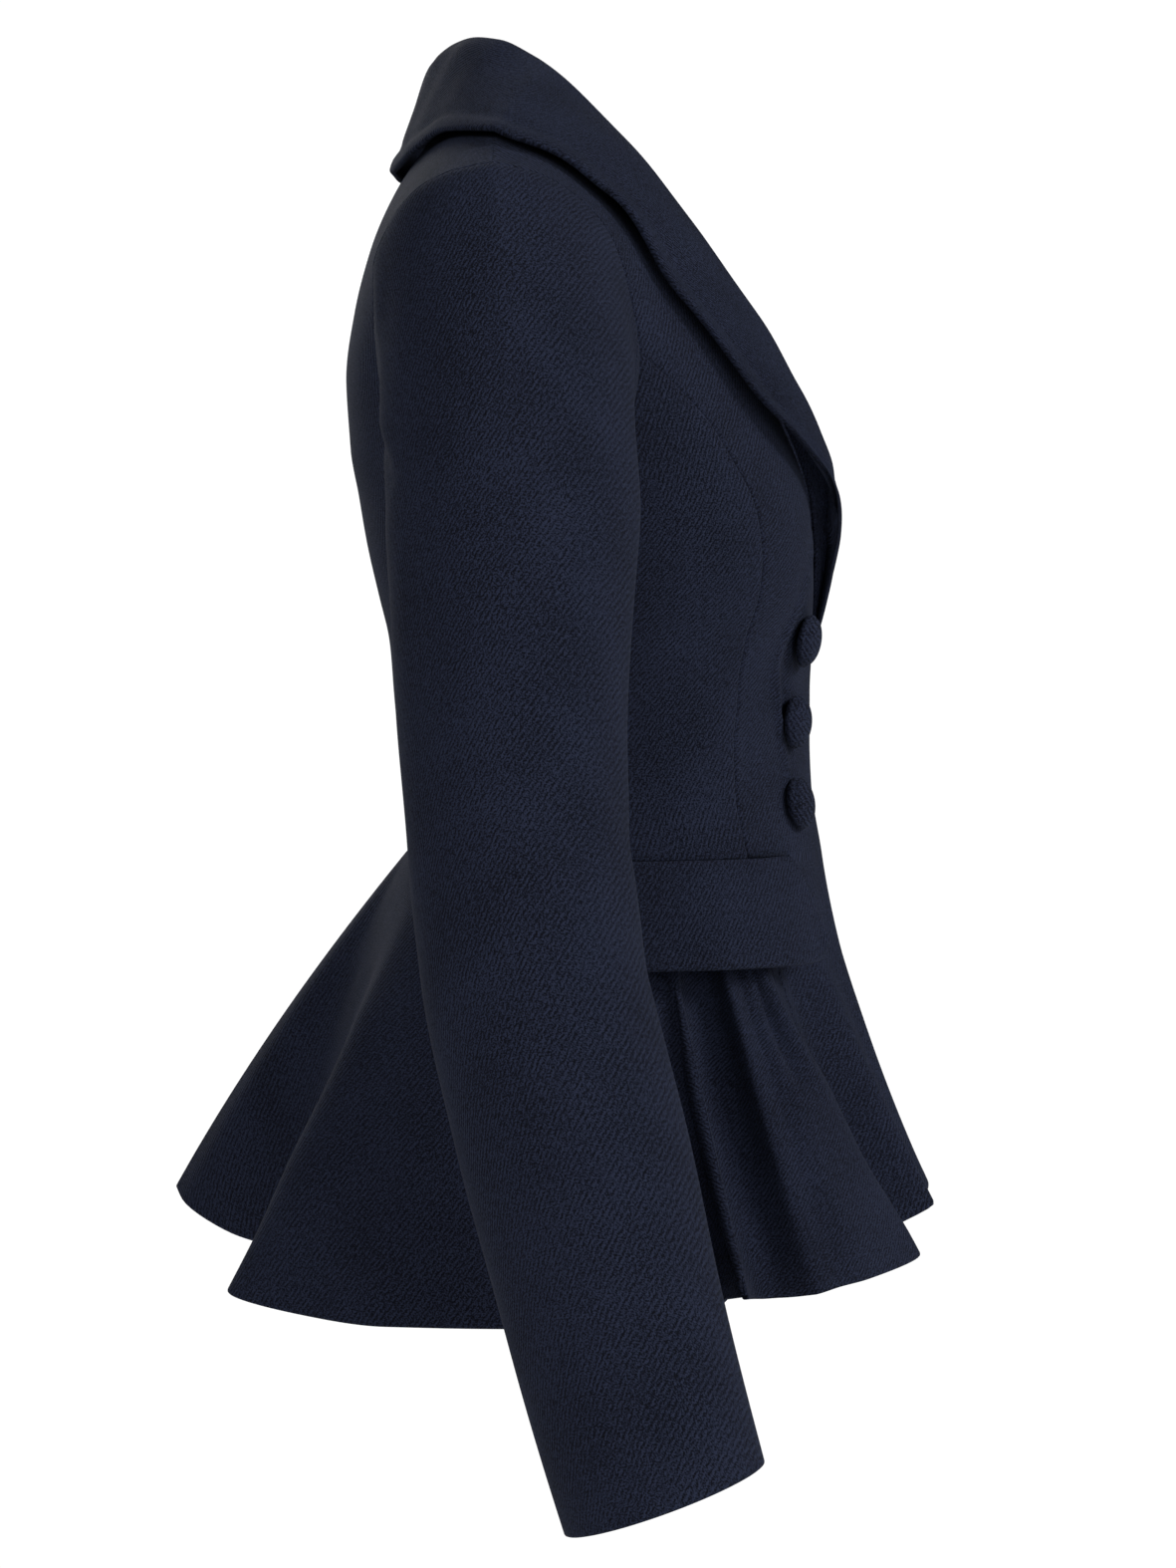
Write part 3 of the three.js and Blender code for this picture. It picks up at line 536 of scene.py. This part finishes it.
def woolTwill(name, look):
    # Wool twill on the cloth's own UV, in metres. The ribs are a sine across the slant, bent by a slow noise.
    # The colour goes from dark to light with the sum of ribs, fibres, nap and cloud, each times its tone. The
    # relief is the sum of ribs, fibres and nap, each times its height.
    made = Finish(name, {
        "Roughness": look["roughness"],
        "Specular IOR Level": look["gloss"],
        "Sheen Weight": look["sheen"],
        "Sheen Roughness": look["sheenSpread"],
        "Sheen Tint": look["sheenTint"],
    })
    place = made.node("ShaderNodeUVMap", {"uv_map": "cloth"}, {})
    slant = (0, 0, math.radians(-look["slant"]))
    turned = made.node("ShaderNodeMapping", {}, {"Vector": place, "Rotation": slant})
    parts = made.node("ShaderNodeSeparateXYZ", {}, {0: turned})
    slow = {"Vector": place, "Scale": look["wanderScale"], "Detail": look["wanderDetail"]}
    wander = made.node("ShaderNodeTexNoise", {}, slow)
    across = Socket(made, parts.socket.node.outputs["Y"])
    rib = (across * (2 * math.pi / look["pitch"]) + wander * look["wander"]).sine()
    stretch = (look["fibreAlong"], look["fibreAcross"], 1)
    stretched = made.node("ShaderNodeMapping", {}, {"Vector": turned, "Scale": stretch})
    fine = {"Vector": stretched, "Scale": 1.0, "Detail": look["fibreDetail"]}
    fibre = made.node("ShaderNodeTexNoise", {}, {**fine, "Roughness": look["fibreRoughness"]})
    short = {"Vector": place, "Scale": look["fuzzScale"], "Detail": look["fuzzDetail"]}
    fuzz = made.node("ShaderNodeTexNoise", {}, short)
    wide = {"Vector": place, "Scale": look["cloudScale"], "Detail": look["cloudDetail"]}
    cloud = made.node("ShaderNodeTexNoise", {}, wide)
    height = rib * look["ribHeight"] + fibre * look["fibreHeight"] + fuzz * look["fuzzHeight"]
    share = rib * look["ribTone"] + (fibre - 0.5) * look["fibreTone"] + (fuzz - 0.5) * look["fuzzTone"]
    share = share + (cloud - 0.5) * look["cloudTone"] + look["balance"]
    ramp = made.node("ShaderNodeMapRange", {"clamp": True}, {"Value": share, "To Min": 0.0, "To Max": 1.0})
    tones = {0: ramp, 6: look["dark"], 7: look["light"]}
    colour = made.node("ShaderNodeMix", {"data_type": "RGBA"}, tones, 2)
    made.feed("Base Color", colour)
    bump = {"Height": height, "Strength": look["relief"], "Distance": look["depth"]}
    relief = made.node("ShaderNodeBump", {}, bump)
    made.feed("Normal", relief)
    return made.material


roundness = 0.88


def roundOver(distance, radius):
    # How far an edge of radius r falls away at a distance d from it: roundness (r - sqrt(r^2 - (r - d)^2)).
    inside = radius - np.clip(distance, 0, radius)
    return roundness * (radius - np.sqrt(radius ** 2 - inside ** 2))


def meshPiece(name, places, faces, thread):
    # A smooth object of the wool, with each place's thread, its distance along and up the cloth, as UV.
    mesh = bpy.data.meshes.new(name)
    mesh.from_pydata(places.tolist(), [], faces)
    corners = np.array([place for face in faces for place in face])
    mesh.uv_layers.new(name="cloth").data.foreach_set("uv", thread[corners].ravel())
    mesh.polygons.foreach_set("use_smooth", np.ones(len(faces), bool))
    mesh.materials.append(wool)
    mesh.update()
    piece = bpy.data.objects.new(name, mesh)
    bpy.context.collection.objects.link(piece)
    return piece


def clothPiece(node, outer, settings, side=1, facing=1, cells=None, thickness=cloth["thin"], sewnFrom=None,
               grain=None):
    # A cloth shell. Its face is the grid of places, dipped at the seams by depth exp(-(distance / width)^2),
    # and its back the same grid moved in by the thickness. A free edge rounds over on both sides, with half
    # the thickness as radius, and a sewn edge on its face alone. The bottom is sewn from column sewnFrom on.
    # facing is 1 where the grid's own normal points out of the face, and side is -1 on the wearer's right.
    rows, columns = outer.shape[:2]
    if cells is None:
        cells = np.ones((rows - 1, columns - 1), bool)
    edges = edgeDistances(outer, cells)
    normal = gridNormals(outer) * facing
    sink = np.zeros((rows, columns))
    trim = np.zeros((rows, columns))
    for edge, distance in edges.items():
        sewn = np.full((rows, columns), edge in settings["edges"])
        if edge == "bottom" and sewnFrom:
            sewn[:, sewnFrom:] = True
        depth, width, radius = settings["edges"].get(edge, seam)
        dip = np.maximum(depth * np.exp(-(distance / width) ** 2), roundOver(distance, radius))
        sink = np.where(sewn, np.maximum(sink, dip), sink)
        trim = np.where(sewn, trim, np.maximum(trim, roundOver(distance, thickness / 2)))
    face = outer - normal * (sink + trim)[..., None]
    back = outer - normal * (thickness - trim)[..., None]
    index = np.arange(rows * columns).reshape(rows, columns)
    quads = np.stack([index[:-1, :-1], index[:-1, 1:], index[1:, 1:], index[1:, :-1]], axis=-1)[cells]
    if facing * side < 0:
        quads = quads[:, ::-1]
    starts, ends = quads.ravel(), np.roll(quads, -1, axis=1).ravel()
    size = rows * columns
    rim = ~np.isin(starts * size + ends, ends * size + starts)
    a, b = starts[rim], ends[rim]
    walls = np.stack([b, a, a + size, b + size], axis=1)
    faces = np.concatenate([quads, quads[:, ::-1] + size, walls])
    kept, faces = np.unique(faces, return_inverse=True)
    faces = faces.reshape(-1, 4)
    places = np.concatenate([face.reshape(-1, 3), back.reshape(-1, 3)])[kept]
    places = (places * [side, 1, 1] - [0, depthOrigin, 0]) / 1000
    # The grain: distance across and down the cloth in metres, the same way up and round on every piece.
    if grain is None:
        u = lengthsAlong(outer, 1)
        grain = u - u[:, columns // 2][:, None], -lengthsAlong(outer, 0)
    u, v = np.broadcast_arrays(-grain[0] * facing * side, grain[1])
    thread = np.stack([u + settings.get("bias", 0) * v, v], axis=-1).reshape(-1, 2) / 1000
    thread = np.concatenate([thread, thread])[kept]
    name = f"{node}_cloth"
    piece = meshPiece(name, places, faces.tolist(), thread)
    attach(piece, "root")
    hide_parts(node)
    width, length = np.max(lengthsAlong(outer, 1)), np.max(lengthsAlong(outer, 0))
    down, across = outer[1:, :-1] - outer[:-1, :-1], outer[:-1, 1:] - outer[:-1, :-1]
    area = float(np.linalg.norm(np.cross(down, across), axis=-1)[cells].sum())
    print(f"{name}: {2 * len(faces)} triangles, widest {width:.0f} mm, longest {length:.0f} mm,",
          f"area {area / 1e6:.4f} m2")


woolLook = {
    "dark": (0.0006, 0.0009, 0.0030, 1), "light": (0.0128, 0.0166, 0.0340, 1),
    "roughness": 0.95, "gloss": 0.1, "sheen": 0.02, "sheenSpread": 0.6, "sheenTint": (0.5, 0.62, 1, 1),
    "slant": 57, "pitch": 0.0021, "wander": 2.6, "wanderScale": 170.0, "wanderDetail": 2.0,
    "fibreAlong": 330.0, "fibreAcross": 1100.0, "fibreDetail": 3.0, "fibreRoughness": 0.65,
    "fuzzScale": 1300.0, "fuzzDetail": 2.0, "cloudScale": 22.0, "cloudDetail": 3.0,
    "ribHeight": 0.36, "fibreHeight": 0.8, "fuzzHeight": 0.6,
    "ribTone": 0.24, "fibreTone": 3.0, "fuzzTone": 4.6, "cloudTone": 0.8, "balance": 0.45,
    "relief": 0.55, "depth": 0.0005,
}
wool = woolTwill("woolTwill", woolLook)
print("materials ready")

sideNames = {-1: "right", 1: "left"}

frontSettings = {
    "slot": "wool_twill", "edges": {"right": princessSeam, "top": seam}, "bias": -0.3,
    "flat": (0.215, 0.615), "area": 0.057, "held": "hung", "restsOn": ["back"],
    "skirtLength": 165, "nearWidth": 94, "farWidth": 32,
    # The left one is moved in where the right one laps over it: fully up to lapFull, and none from lapClear.
    "lapInset": 2, "lapFull": 22, "lapClear": 50,
    # Distance out and level: a pressed turn beside the buttons, on the right front alone.
    "turnCreases": [
        [54, 206, 70, 228, 2.4, 1.2],
        [70, 226, 77, 264, 2.2, 2.2],
        [77, 262, 66, 297, 2.2, 2.4],
        [66, 293, 56, 332, 2.8, 1.8],
        [63, 228, 69, 264, 4, -1.8],
        [69, 260, 57, 298, 4, -2],
        [57, 300, 50, 335, 4, -0.7],
    ],
    # Soft drags at the waist and valleys in the skirt, on both fronts.
    "creases": [
        [92, 300, 88, 345, 9, -0.5],
        [60, 268, 96, 282, 8, -0.4],
        [70, 412, 62, 540, 7, -4],
        [30, 420, 30, 520, 8, -2],
    ],
}


def makeFront(side):
    # Front panel: the body from the shoulder to the waist, and the peplum below it as far as frontSkirtEnd.
    front = frontSettings
    drops = mix(shoulderDrop, waistDrop, steps(waistDrop - shoulderDrop, end=False))
    skirt = steps(front["skirtLength"], start=False)[1:]
    inner = shareAt(frontRows, follow(frontEdge, "drop", "x", drops), drops)
    princess = shareAt(frontRows, follow(frontPrincess, "drop", "x", drops), drops) - halfGap
    outer = np.where(drops <= frontSplit, 1, np.minimum(princess, 1))
    waistIn, waistOut = inner[-1], outer[-1]
    share = (frontSkirtEnd - halfGap - waistIn) / (waistOut - waistIn)
    near = share * steps(front["nearWidth"])
    far = mix(share, 1, steps(front["farWidth"]))[1:]
    across = np.concatenate([near, far])
    s = mix(inner[:, None], outer[:, None], across[None])
    drop = np.broadcast_to(drops[:, None], s.shape)
    upper = bodyPoint(frontRows, s, drop)
    along, height = bodyGrain(frontRows, upper, s, drop)
    upperNormal = bodyNormal(frontRows, s, drop)
    angle = np.minimum(mix(waistIn, waistOut, across), frontSkirtEnd - halfGap)
    # The columns past the skirt's end have no cells there, but keep a tiny step of angle so that they differ.
    tinyStep = 1e-5
    angle = angle + np.maximum(np.arange(len(across)) - len(near) + 1, 0) * tinyStep
    angles, t = np.meshgrid(angle, skirt)
    lower = skirtPoint(angles, t)
    inside = 0.002
    lowerNormal = -normalOf(skirtPoint, angles, np.clip(t, inside, 1 - inside), -1, 2)
    points = np.concatenate([upper, lower])
    around = lengthsAlong(lower, 1) + along[-1, 0]
    grain = np.concatenate([along, around]), np.concatenate([height, height[-1:] - lengthsAlong(lower, 0)])
    normal = np.concatenate([upperNormal, lowerNormal])
    if side > 0:
        lapped = 1 - smooth(front["lapFull"], front["lapClear"], points[..., 0])
        inset = (front["lapInset"] + 3 * seamGap) * lapped
        points = points - normal * inset[..., None]
    x, level = points[..., 0], -points[..., 2]
    lines = front["creases"] + (front["turnCreases"] if side < 0 else [])
    lift = creases(x, level, lines) + undulation(x, level, height=0.25, length=90, seed=11 + side)
    travelled = lengthsAlong(points, 1)
    seamAt = np.where(np.arange(len(points)) < len(drops), travelled[:, -1], travelled[:, len(near) - 1])
    lift = lift * smooth(0, seamFade, seamAt[:, None] - travelled)
    points = points + normal * lift[..., None]
    cells = np.ones((points.shape[0] - 1, points.shape[1] - 1), bool)
    cells[len(drops) - 1:, len(near) - 1:] = False
    node = f"front_{sideNames[side]}"
    clothPiece(node, points, front, side, -1, cells=cells, sewnFrom=len(near), grain=grain)


sidePanel = {"width": 70, "startsBelow": 0.8, "mostInner": 0.985}
sideEdges = {"left": princessSeam, "right": seam, "top": seam, "bottom": seam}
sideFrontSettings = {
    "slot": "wool_twill", "edges": sideEdges,
    "flat": (0.105, 0.265), "area": 0.017, "held": "hung", "restsOn": ["front"],
}
sideBackSettings = {
    "slot": "wool_twill", "edges": sideEdges,
    "flat": (0.11, 0.28), "area": 0.0187, "held": "hung", "restsOn": ["back"],
}


def makeSide(name, rows, princess, split, facing, settings, side):
    # A side panel: the body between the princess seam and the side seam, from just below where they part.
    drops = mix(split + sidePanel["startsBelow"], waistDrop, steps(waistDrop - split))
    inner = shareAt(rows, follow(princess, "drop", "x", drops), drops) + halfGap
    inner = np.minimum(inner, sidePanel["mostInner"])
    s = mix(inner[:, None], 1 - halfGap, steps(sidePanel["width"])[None])
    drop = np.broadcast_to(drops[:, None], s.shape)
    points = bodyPoint(rows, s, drop)
    grain = bodyGrain(rows, points, s, drop)
    clothPiece(f"{name}_{sideNames[side]}", points, settings, side, facing, grain=grain)


backSettings = {
    "slot": "wool_twill", "edges": {"left": seam, "right": seam, "bottom": seam, "top": seam},
    "flat": (0.415, 0.4), "area": 0.091, "held": "hung", "restsOn": ["front_right", "front_left"],
    "neckWidth": 76, "shoulderWidth": 110,
}


def makeBack():
    # Back panel: the body from the neckline and the shoulders down to the waist, cut on the fold.
    shares = steps(waistDrop - shoulderDrop)
    neckShare = shareAt(backRows, backNeck["x"][-1], shoulderDrop)
    neckHalf = neckShare * steps(backSettings["neckWidth"], start=False)
    shoulderHalf = mix(neckShare, 1, steps(backSettings["shoulderWidth"], start=False))[1:]
    half = np.concatenate([neckHalf, shoulderHalf])
    across = np.concatenate([-half[:0:-1], half])
    x = backRows["sideX"][0] * np.abs(across)
    top = follow(backNeck, "x", "drop", x) + np.where(np.abs(across) >= neckShare, seamGap, 0)
    drop = mix(top[None], waistDrop, shares[:, None])
    princess = shareAt(backRows, follow(backPrincess, "drop", "x", drop), drop) - halfGap
    outer = np.where(drop <= backSplit, 1, princess)
    s = across[None] * outer
    points = bodyPoint(backRows, s, drop)
    normal = bodyNormal(backRows, s, drop)
    grain = bodyGrain(backRows, points, s, drop)
    lift = undulation(points[..., 0], drop, height=0.3, length=120, seed=5)
    points = points + normal * lift[..., None]
    clothPiece("back", points, backSettings, grain=grain)


peplumSettings = {
    "slot": "wool_twill", "edges": {"left": seam, "right": seam, "top": seam},
    "flat": (0.63, 0.235), "area": 0.093, "held": "gathered", "restsOn": ["side_front", "side_back", "back"],
    "width": 460, "length": 200, "pitch": 2.4,
    # The hem is lifted round the narrow flute's ridge.
    "ridge": 0.8, "ridgeWidth": 0.04, "ridgeLift": 4.6,
    # Angle times shareLength and share times fall: valleys between the flutes and small folds under the flap.
    "fall": 190, "unevenOver": (0.02, 0.4),
    "creases": [
        [62, 50, 61, 192, 5, -3],
        [114.5, 34, 113, 205, 7.5, -12],
        [102, 60, 98, 200, 7, 2],
        [92, 52, 90, 100, 3, -4.2],
        [86, 52, 83, 110, 3, 2],
        [76, 50, 76, 92, 3, -3.6],
        [141, 60, 143, 200, 6, -3],
        [262, 60, 262, 200, 9, -3],
        [236, 70, 232, 195, 10, 2],
        [282, 60, 284, 190, 5, -2],
    ],
}


def makePeplum(side):
    # Peplum half: the skirt surface from the front panel to the centre back, lifted by its creases, and at
    # the ridge by ridgeLift t exp(-((angle - ridge) / ridgeWidth)^2).
    skirt = peplumSettings
    across = mix(frontSkirtEnd + halfGap, 2 - halfGap, steps(skirt["width"], skirt["pitch"]))
    angle, t = np.meshgrid(across, steps(skirt["length"]))
    points = skirtPoint(angle, t)
    points[..., 2] -= seamGap * (1 - t)
    points[:, -1, 0] = seamGap / 2
    normal = gridNormals(points) * -1
    u, v = angle * shareLength, t * skirt["fall"]
    uneven = undulation(u, v, height=0.5, length=80, seed=21 + side) * smooth(*skirt["unevenOver"], t)
    lift = creases(u, v, skirt["creases"]) + uneven
    lift = lift * smooth(0, seamFade, u - frontSkirtEnd * shareLength)
    lift = lift * smooth(0, seamFade, 2 * shareLength - u)
    points = points + normal * lift[..., None]
    points[..., 2] += skirt["ridgeLift"] * t * np.exp(-((angle - skirt["ridge"]) / skirt["ridgeWidth"]) ** 2)
    clothPiece(f"peplum_{sideNames[side]}", points, skirt, side, -1)


flapSettings = {
    "slot": "wool_twill", "edges": {"top": seam}, "bias": -0.35,
    "flat": (0.15, 0.056), "area": 0.0067, "held": "hung", "restsOn": ["side_front"],
    "width": 118, "length": 60, "roll": 1.2, "rollAt": 3.2, "rollWidth": 2.6,
    "cornerCut": 0.11, "cornerPower": 6, "cornerWidth": 7, "lean": 0.03, "shift": 0.001,
}


def makeFlap(side):
    # Pocket flap: the flap surface, its edges rolled a little fuller. Its lower front corner is rounded by
    # cornerCut t^cornerPower exp(-(distance / cornerWidth)^2).
    flap = flapSettings
    across, t = np.meshgrid(steps(flap["width"]), steps(flap["length"]))
    near = across * flap["width"]
    t = t - flap["cornerCut"] * t ** flap["cornerPower"] * np.exp(-(near / flap["cornerWidth"]) ** 2)
    front, rear = flapRows["angle"][0], flapRows["angle"][-1]
    points = flapPoint(mix(front + flap["lean"] * (1 - t), rear, across) - flap["shift"], t)
    normal = gridNormals(points) * -1
    down = lengthsAlong(points, 0)
    low = down[-1][None] - down
    roll = flap["roll"] * np.exp(-((low - flap["rollAt"]) / flap["rollWidth"]) ** 2)
    points = points + normal * roll[..., None]
    clothPiece(f"flap_{sideNames[side]}", points, flap, side, -1, thickness=cloth["double"])


collarSettings = {
    "slot": "wool_twill", "edges": {},
    "flat": (1.02, 0.115), "area": 0.064, "held": "folded", "restsOn": ["back", "front_right", "front_left"],
    "length": 900, "lengthPitch": 3.4, "width": 150, "widthPitch": 2.4,
    "roll": 1.1, "rollAt": 5, "rollWidth": 6, "groove": 0.8, "grooveAt": 12, "grooveWidth": 3.5,
    # Half the length, and the width, for the unevenness.
    "halfRun": 500, "across": 115, "unevenOver": (0.35, 0.5), "fadeOver": (0.02, 0.2),
    "taperFrom": 0.9, "narrowing": 0.6, "endX": 12, "endY": -98.5, "endZ": -264, "endThickness": 1.4,
}


def makeCollar():
    # Shawl collar in one piece round the neck. The leaf's edge is a full roll with a soft groove above it,
    # each height exp(-((distance - at) / width)^2). Its ends are drawn towards a place at the top button.
    collar = collarSettings
    along = steps(collar["length"], collar["lengthPitch"])
    run, w = np.meshgrid(mix(-1, 1, along), steps(collar["width"], collar["widthPitch"]))
    inside = 0.0005
    points = collarPoint(run, np.clip(w, inside, 1 - inside))
    normal = gridNormals(points)
    down = lengthsAlong(points, 0)
    low = down[-1][None] - down
    roll = collar["roll"] * np.exp(-((low - collar["rollAt"]) / collar["rollWidth"]) ** 2)
    groove = collar["groove"] * np.exp(-((low - collar["grooveAt"]) / collar["grooveWidth"]) ** 2)
    fade = smooth(*collar["fadeOver"], 1 - np.abs(run))
    uneven = undulation(run * collar["halfRun"], w * collar["across"], height=0.45, length=50, seed=41)
    uneven = uneven * smooth(*collar["unevenOver"], w)
    points = points + normal * ((roll - groove + uneven) * fade)[..., None]
    end = vectors(np.sign(run) * collar["endX"], collar["endY"], collar["endZ"])
    narrowed = smooth(collar["taperFrom"], 1, np.abs(run))
    points = mix(points, end, (collar["narrowing"] * narrowed)[..., None])
    thickness = mix(cloth["double"], collar["endThickness"], narrowed)
    clothPiece("collar", points, collar, thickness=thickness)


sleeveSettings = {
    "slot": "wool_twill",
    "edges": {"left": sleeveSeam, "right": sleeveSeam, "top": seam},
    "held": "hung", "restsOn": ["front", "back"],
    "cut": {"top": {"flat": (0.24, 0.62), "area": 0.113}, "under": {"flat": (0.2, 0.545), "area": 0.054}},
    "capLength": 190, "armLength": 425, "splitGap": 0.15,
    # Angle times girth and t times fall: a pinch behind the upper arm, soft drags at the elbow.
    "girth": 0.87, "fall": 300, "unevenOver": (0.1, 0.5),
    "creases": [
        [-88, 196, -62, 258, 5, -1.7],
        [-80, 186, -56, 240, 5, 0.8],
        [58, 386, 92, 410, 9, -1.2],
        [46, 424, 84, 446, 10, -1.0],
        [-76, 430, -34, 404, 13, -0.9],
        [30, 470, 66, 486, 12, -0.6],
        [10, 60, 34, 150, 16, -0.6],
    ],
}


def makeSleeve(side, part):
    # Sleeve piece: the sleeve surface between two angles, 0 outside and 90 in front, lifted by its creases.
    settings = {**sleeveSettings, **sleeveSettings["cut"][part]}
    girth, gap = settings["girth"], settings["splitGap"]
    low, high = (-sleeveSplit, sleeveSplit) if part == "top" else (sleeveSplit, 360 - sleeveSplit)
    turn = mix(low + gap, high - gap, steps((high - low) * girth))
    arm = 1 + steps(settings["armLength"], start=False)[1:]
    angle, t = np.meshgrid(turn, np.concatenate([steps(settings["capLength"], end=False), arm]))
    inside = 0.0005
    points = sleevePoint(angle, np.clip(t, inside, 2 - inside))
    normal = gridNormals(points)
    u, v = angle * girth, t * settings["fall"]
    lift = creases(u, v, settings["creases"])
    uneven = undulation(u, v, height=0.6, length=110, seed=31 + side)
    lift = lift + uneven * smooth(*settings["unevenOver"], t)
    edge = np.minimum(turn - turn[0], turn[-1] - turn) * girth
    lift = lift * smooth(0, seamFade, edge)[None]
    points = points + normal * lift[..., None]
    clothPiece(f"sleeve_{part}_{sideNames[side]}", points, settings, side)


buttonSettings = {
    "radius": 12.5, "rim": 3.2, "rimBend": 0.75, "rimTurn": 1.25, "dome": 5, "domeInset": 0.9,
    "shank": 3, "shankHeight": 1, "off": 0.2, "tip": 0.01, "bends": 12, "sides": 48,
    "x": 56, "drops": [255, 293.5, 332.5],
}


def makeButton(number, drop):
    # Covered button: a profile turned about its own axis and set on the right front. The profile goes up the
    # shank, out along the back, round the rim on a circle and over the dome on a quarter of an ellipse.
    b = buttonSettings
    share = shareAt(frontRows, b["x"], drop)
    spot = bodyPoint(frontRows, np.array(share), np.array(float(drop)))
    facing = bodyNormal(frontRows, np.array(share), np.array(float(drop)))
    aside = unit(np.cross([0, 0, 1.0], facing))
    upright = np.cross(facing, aside)
    bend = np.linspace(0, math.pi / 2, b["bends"])
    rimRadius = b["rim"] * b["rimBend"]
    back, front = b["shankHeight"], b["shankHeight"] + b["rim"]
    rimOut = b["radius"] - rimRadius + rimRadius * np.sin(bend * b["rimTurn"])
    rimUp = back + rimRadius - rimRadius * np.cos(bend * b["rimTurn"])
    domeOut = (b["radius"] - b["domeInset"]) * np.cos(bend)
    profile = np.concatenate([
        [[b["tip"], 0], [b["shank"], 0], [b["shank"], back]],
        [[b["radius"] - rimRadius, back]],
        np.stack([rimOut, rimUp], 1)[1:],
        np.stack([domeOut, front + b["dome"] * np.sin(bend)], 1)[1:-1],
        [[b["tip"], front + b["dome"]]],
    ])
    turns = np.linspace(0, 2 * math.pi, b["sides"] + 1)[:-1]
    radius, height = profile[:, :1], profile[:, 1:] + seamGap + b["off"]
    ring = (np.cos(turns)[:, None] * aside + np.sin(turns)[:, None] * upright)[None]
    places = spot + ring * radius[..., None] + facing * height[..., None]
    rows, columns = places.shape[:2]
    index = np.arange(rows * columns).reshape(rows, columns)
    following = np.roll(index, -1, axis=1)
    quads = np.stack([index[:-1], following[:-1], following[1:], index[1:]], axis=-1).reshape(-1, 4)
    faces = [face[::-1] for face in quads.tolist() + [index[0][::-1].tolist(), index[-1].tolist()]]
    places = (places.reshape(-1, 3) * [-1, 1, 1] - [0, depthOrigin, 0]) / 1000
    thread = np.stack([(places - places[0]) @ [0, 1, 0], places[:, 2]], axis=-1)
    name = f"button_{number}"
    piece = meshPiece(f"{name}_covered", places, faces, thread)
    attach(piece, "root")
    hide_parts(name)


for side in (-1, 1):
    makeFront(side)
    makeSide("side_front", frontRows, frontPrincess, frontSplit, -1, sideFrontSettings, side)
    makeSide("side_back", backRows, backPrincess, backSplit, 1, sideBackSettings, side)
    makePeplum(side)
    makeFlap(side)
    makeSleeve(side, "top")
    makeSleeve(side, "under")
makeBack()
makeCollar()
for number, drop in enumerate(buttonSettings["drops"]):
    makeButton(number + 1, drop)
print("pieces ready")

studio = {"floor": -1.0, "floorSize": 3, "floorGlow": 0.05, "backdrop": 1.05, "ambient": 0.05}
floorMesh = bpy.data.meshes.new("floor")
half = studio["floorSize"] / 2
level = studio["floor"]
corners = [(-half, -half, level), (half, -half, level), (half, half, level), (-half, half, level)]
floorMesh.from_pydata(corners, [], [(0, 1, 2, 3)])
floor = bpy.data.objects.new("floor", floorMesh)
bpy.context.collection.objects.link(floor)
paleFloor = Finish("paleFloor", {
    "Base Color": (0.93, 0.93, 0.93, 1), "Roughness": 0.9,
    "Emission Color": (1, 1, 1, 1), "Emission Strength": studio["floorGlow"],
})
floorMesh.materials.append(paleFloor.material)

world = bpy.data.worlds.new("studio")
bpy.context.scene.world = world
world.use_nodes = True
sky = world.node_tree
# A camera ray sees the bright backdrop, and any other ray the faint ambient light.
ambient, seen = sky.nodes["Background"], sky.nodes.new("ShaderNodeBackground")
for background, strength in ((ambient, studio["ambient"]), (seen, studio["backdrop"])):
    background.inputs["Color"].default_value = (1, 1, 1, 1)
    background.inputs["Strength"].default_value = strength
path = sky.nodes.new("ShaderNodeLightPath")
chosen = sky.nodes.new("ShaderNodeMixShader")
sky.links.new(path.outputs["Is Camera Ray"], chosen.inputs[0])
sky.links.new(ambient.outputs[0], chosen.inputs[1])
sky.links.new(seen.outputs[0], chosen.inputs[2])
sky.links.new(chosen.outputs[0], sky.nodes["World Output"].inputs[0])

# The middle of the jacket in metres, which the lamps and the camera face.
centre = Vector((0, -0.0426, -0.325))
lamps = {
    "key": {"at": (-2.6, -1.6, 0.2), "size": 1.6, "watts": 38},
    "side": {"at": (-2.8, 0.9, 0.9), "size": 1.2, "watts": 20},
    "rim": {"at": (-1.8, 2.3, 1.2), "size": 1.6, "watts": 44},
    "front": {"at": (-1.4, -2.9, 1.5), "size": 1.2, "watts": 98},
    "far": {"at": (0.6, -3.0, 0.8), "size": 1.6, "watts": 12},
    "other": {"at": (3.0, 1.0, 1.2), "size": 2.2, "watts": 60},
}
for name, lamp in lamps.items():
    light = bpy.data.lights.new(name, "AREA")
    light.shape, light.size, light.energy = "DISK", lamp["size"], lamp["watts"]
    made = bpy.data.objects.new(name, light)
    bpy.context.collection.objects.link(made)
    made.location = lamp["at"]
    made.rotation_euler = (centre - Vector(lamp["at"])).to_track_quat("-Z", "Y").to_euler()

shot = {"distance": 2.6, "elevation": 2, "lens": 123.9, "sensor": 36}
rise = math.radians(shot["elevation"])
camera = bpy.data.objects.new("camera", bpy.data.cameras.new("camera"))
bpy.context.collection.objects.link(camera)
camera.location = centre + Vector((-math.cos(rise), 0, math.sin(rise))) * shot["distance"]
camera.rotation_euler = (centre - camera.location).to_track_quat("-Z", "Y").to_euler()
camera.data.lens = shot["lens"]
camera.data.sensor_width = shot["sensor"]
bpy.context.scene.camera = camera
bpy.context.scene.view_settings.view_transform = "Standard"
print("studio ready")
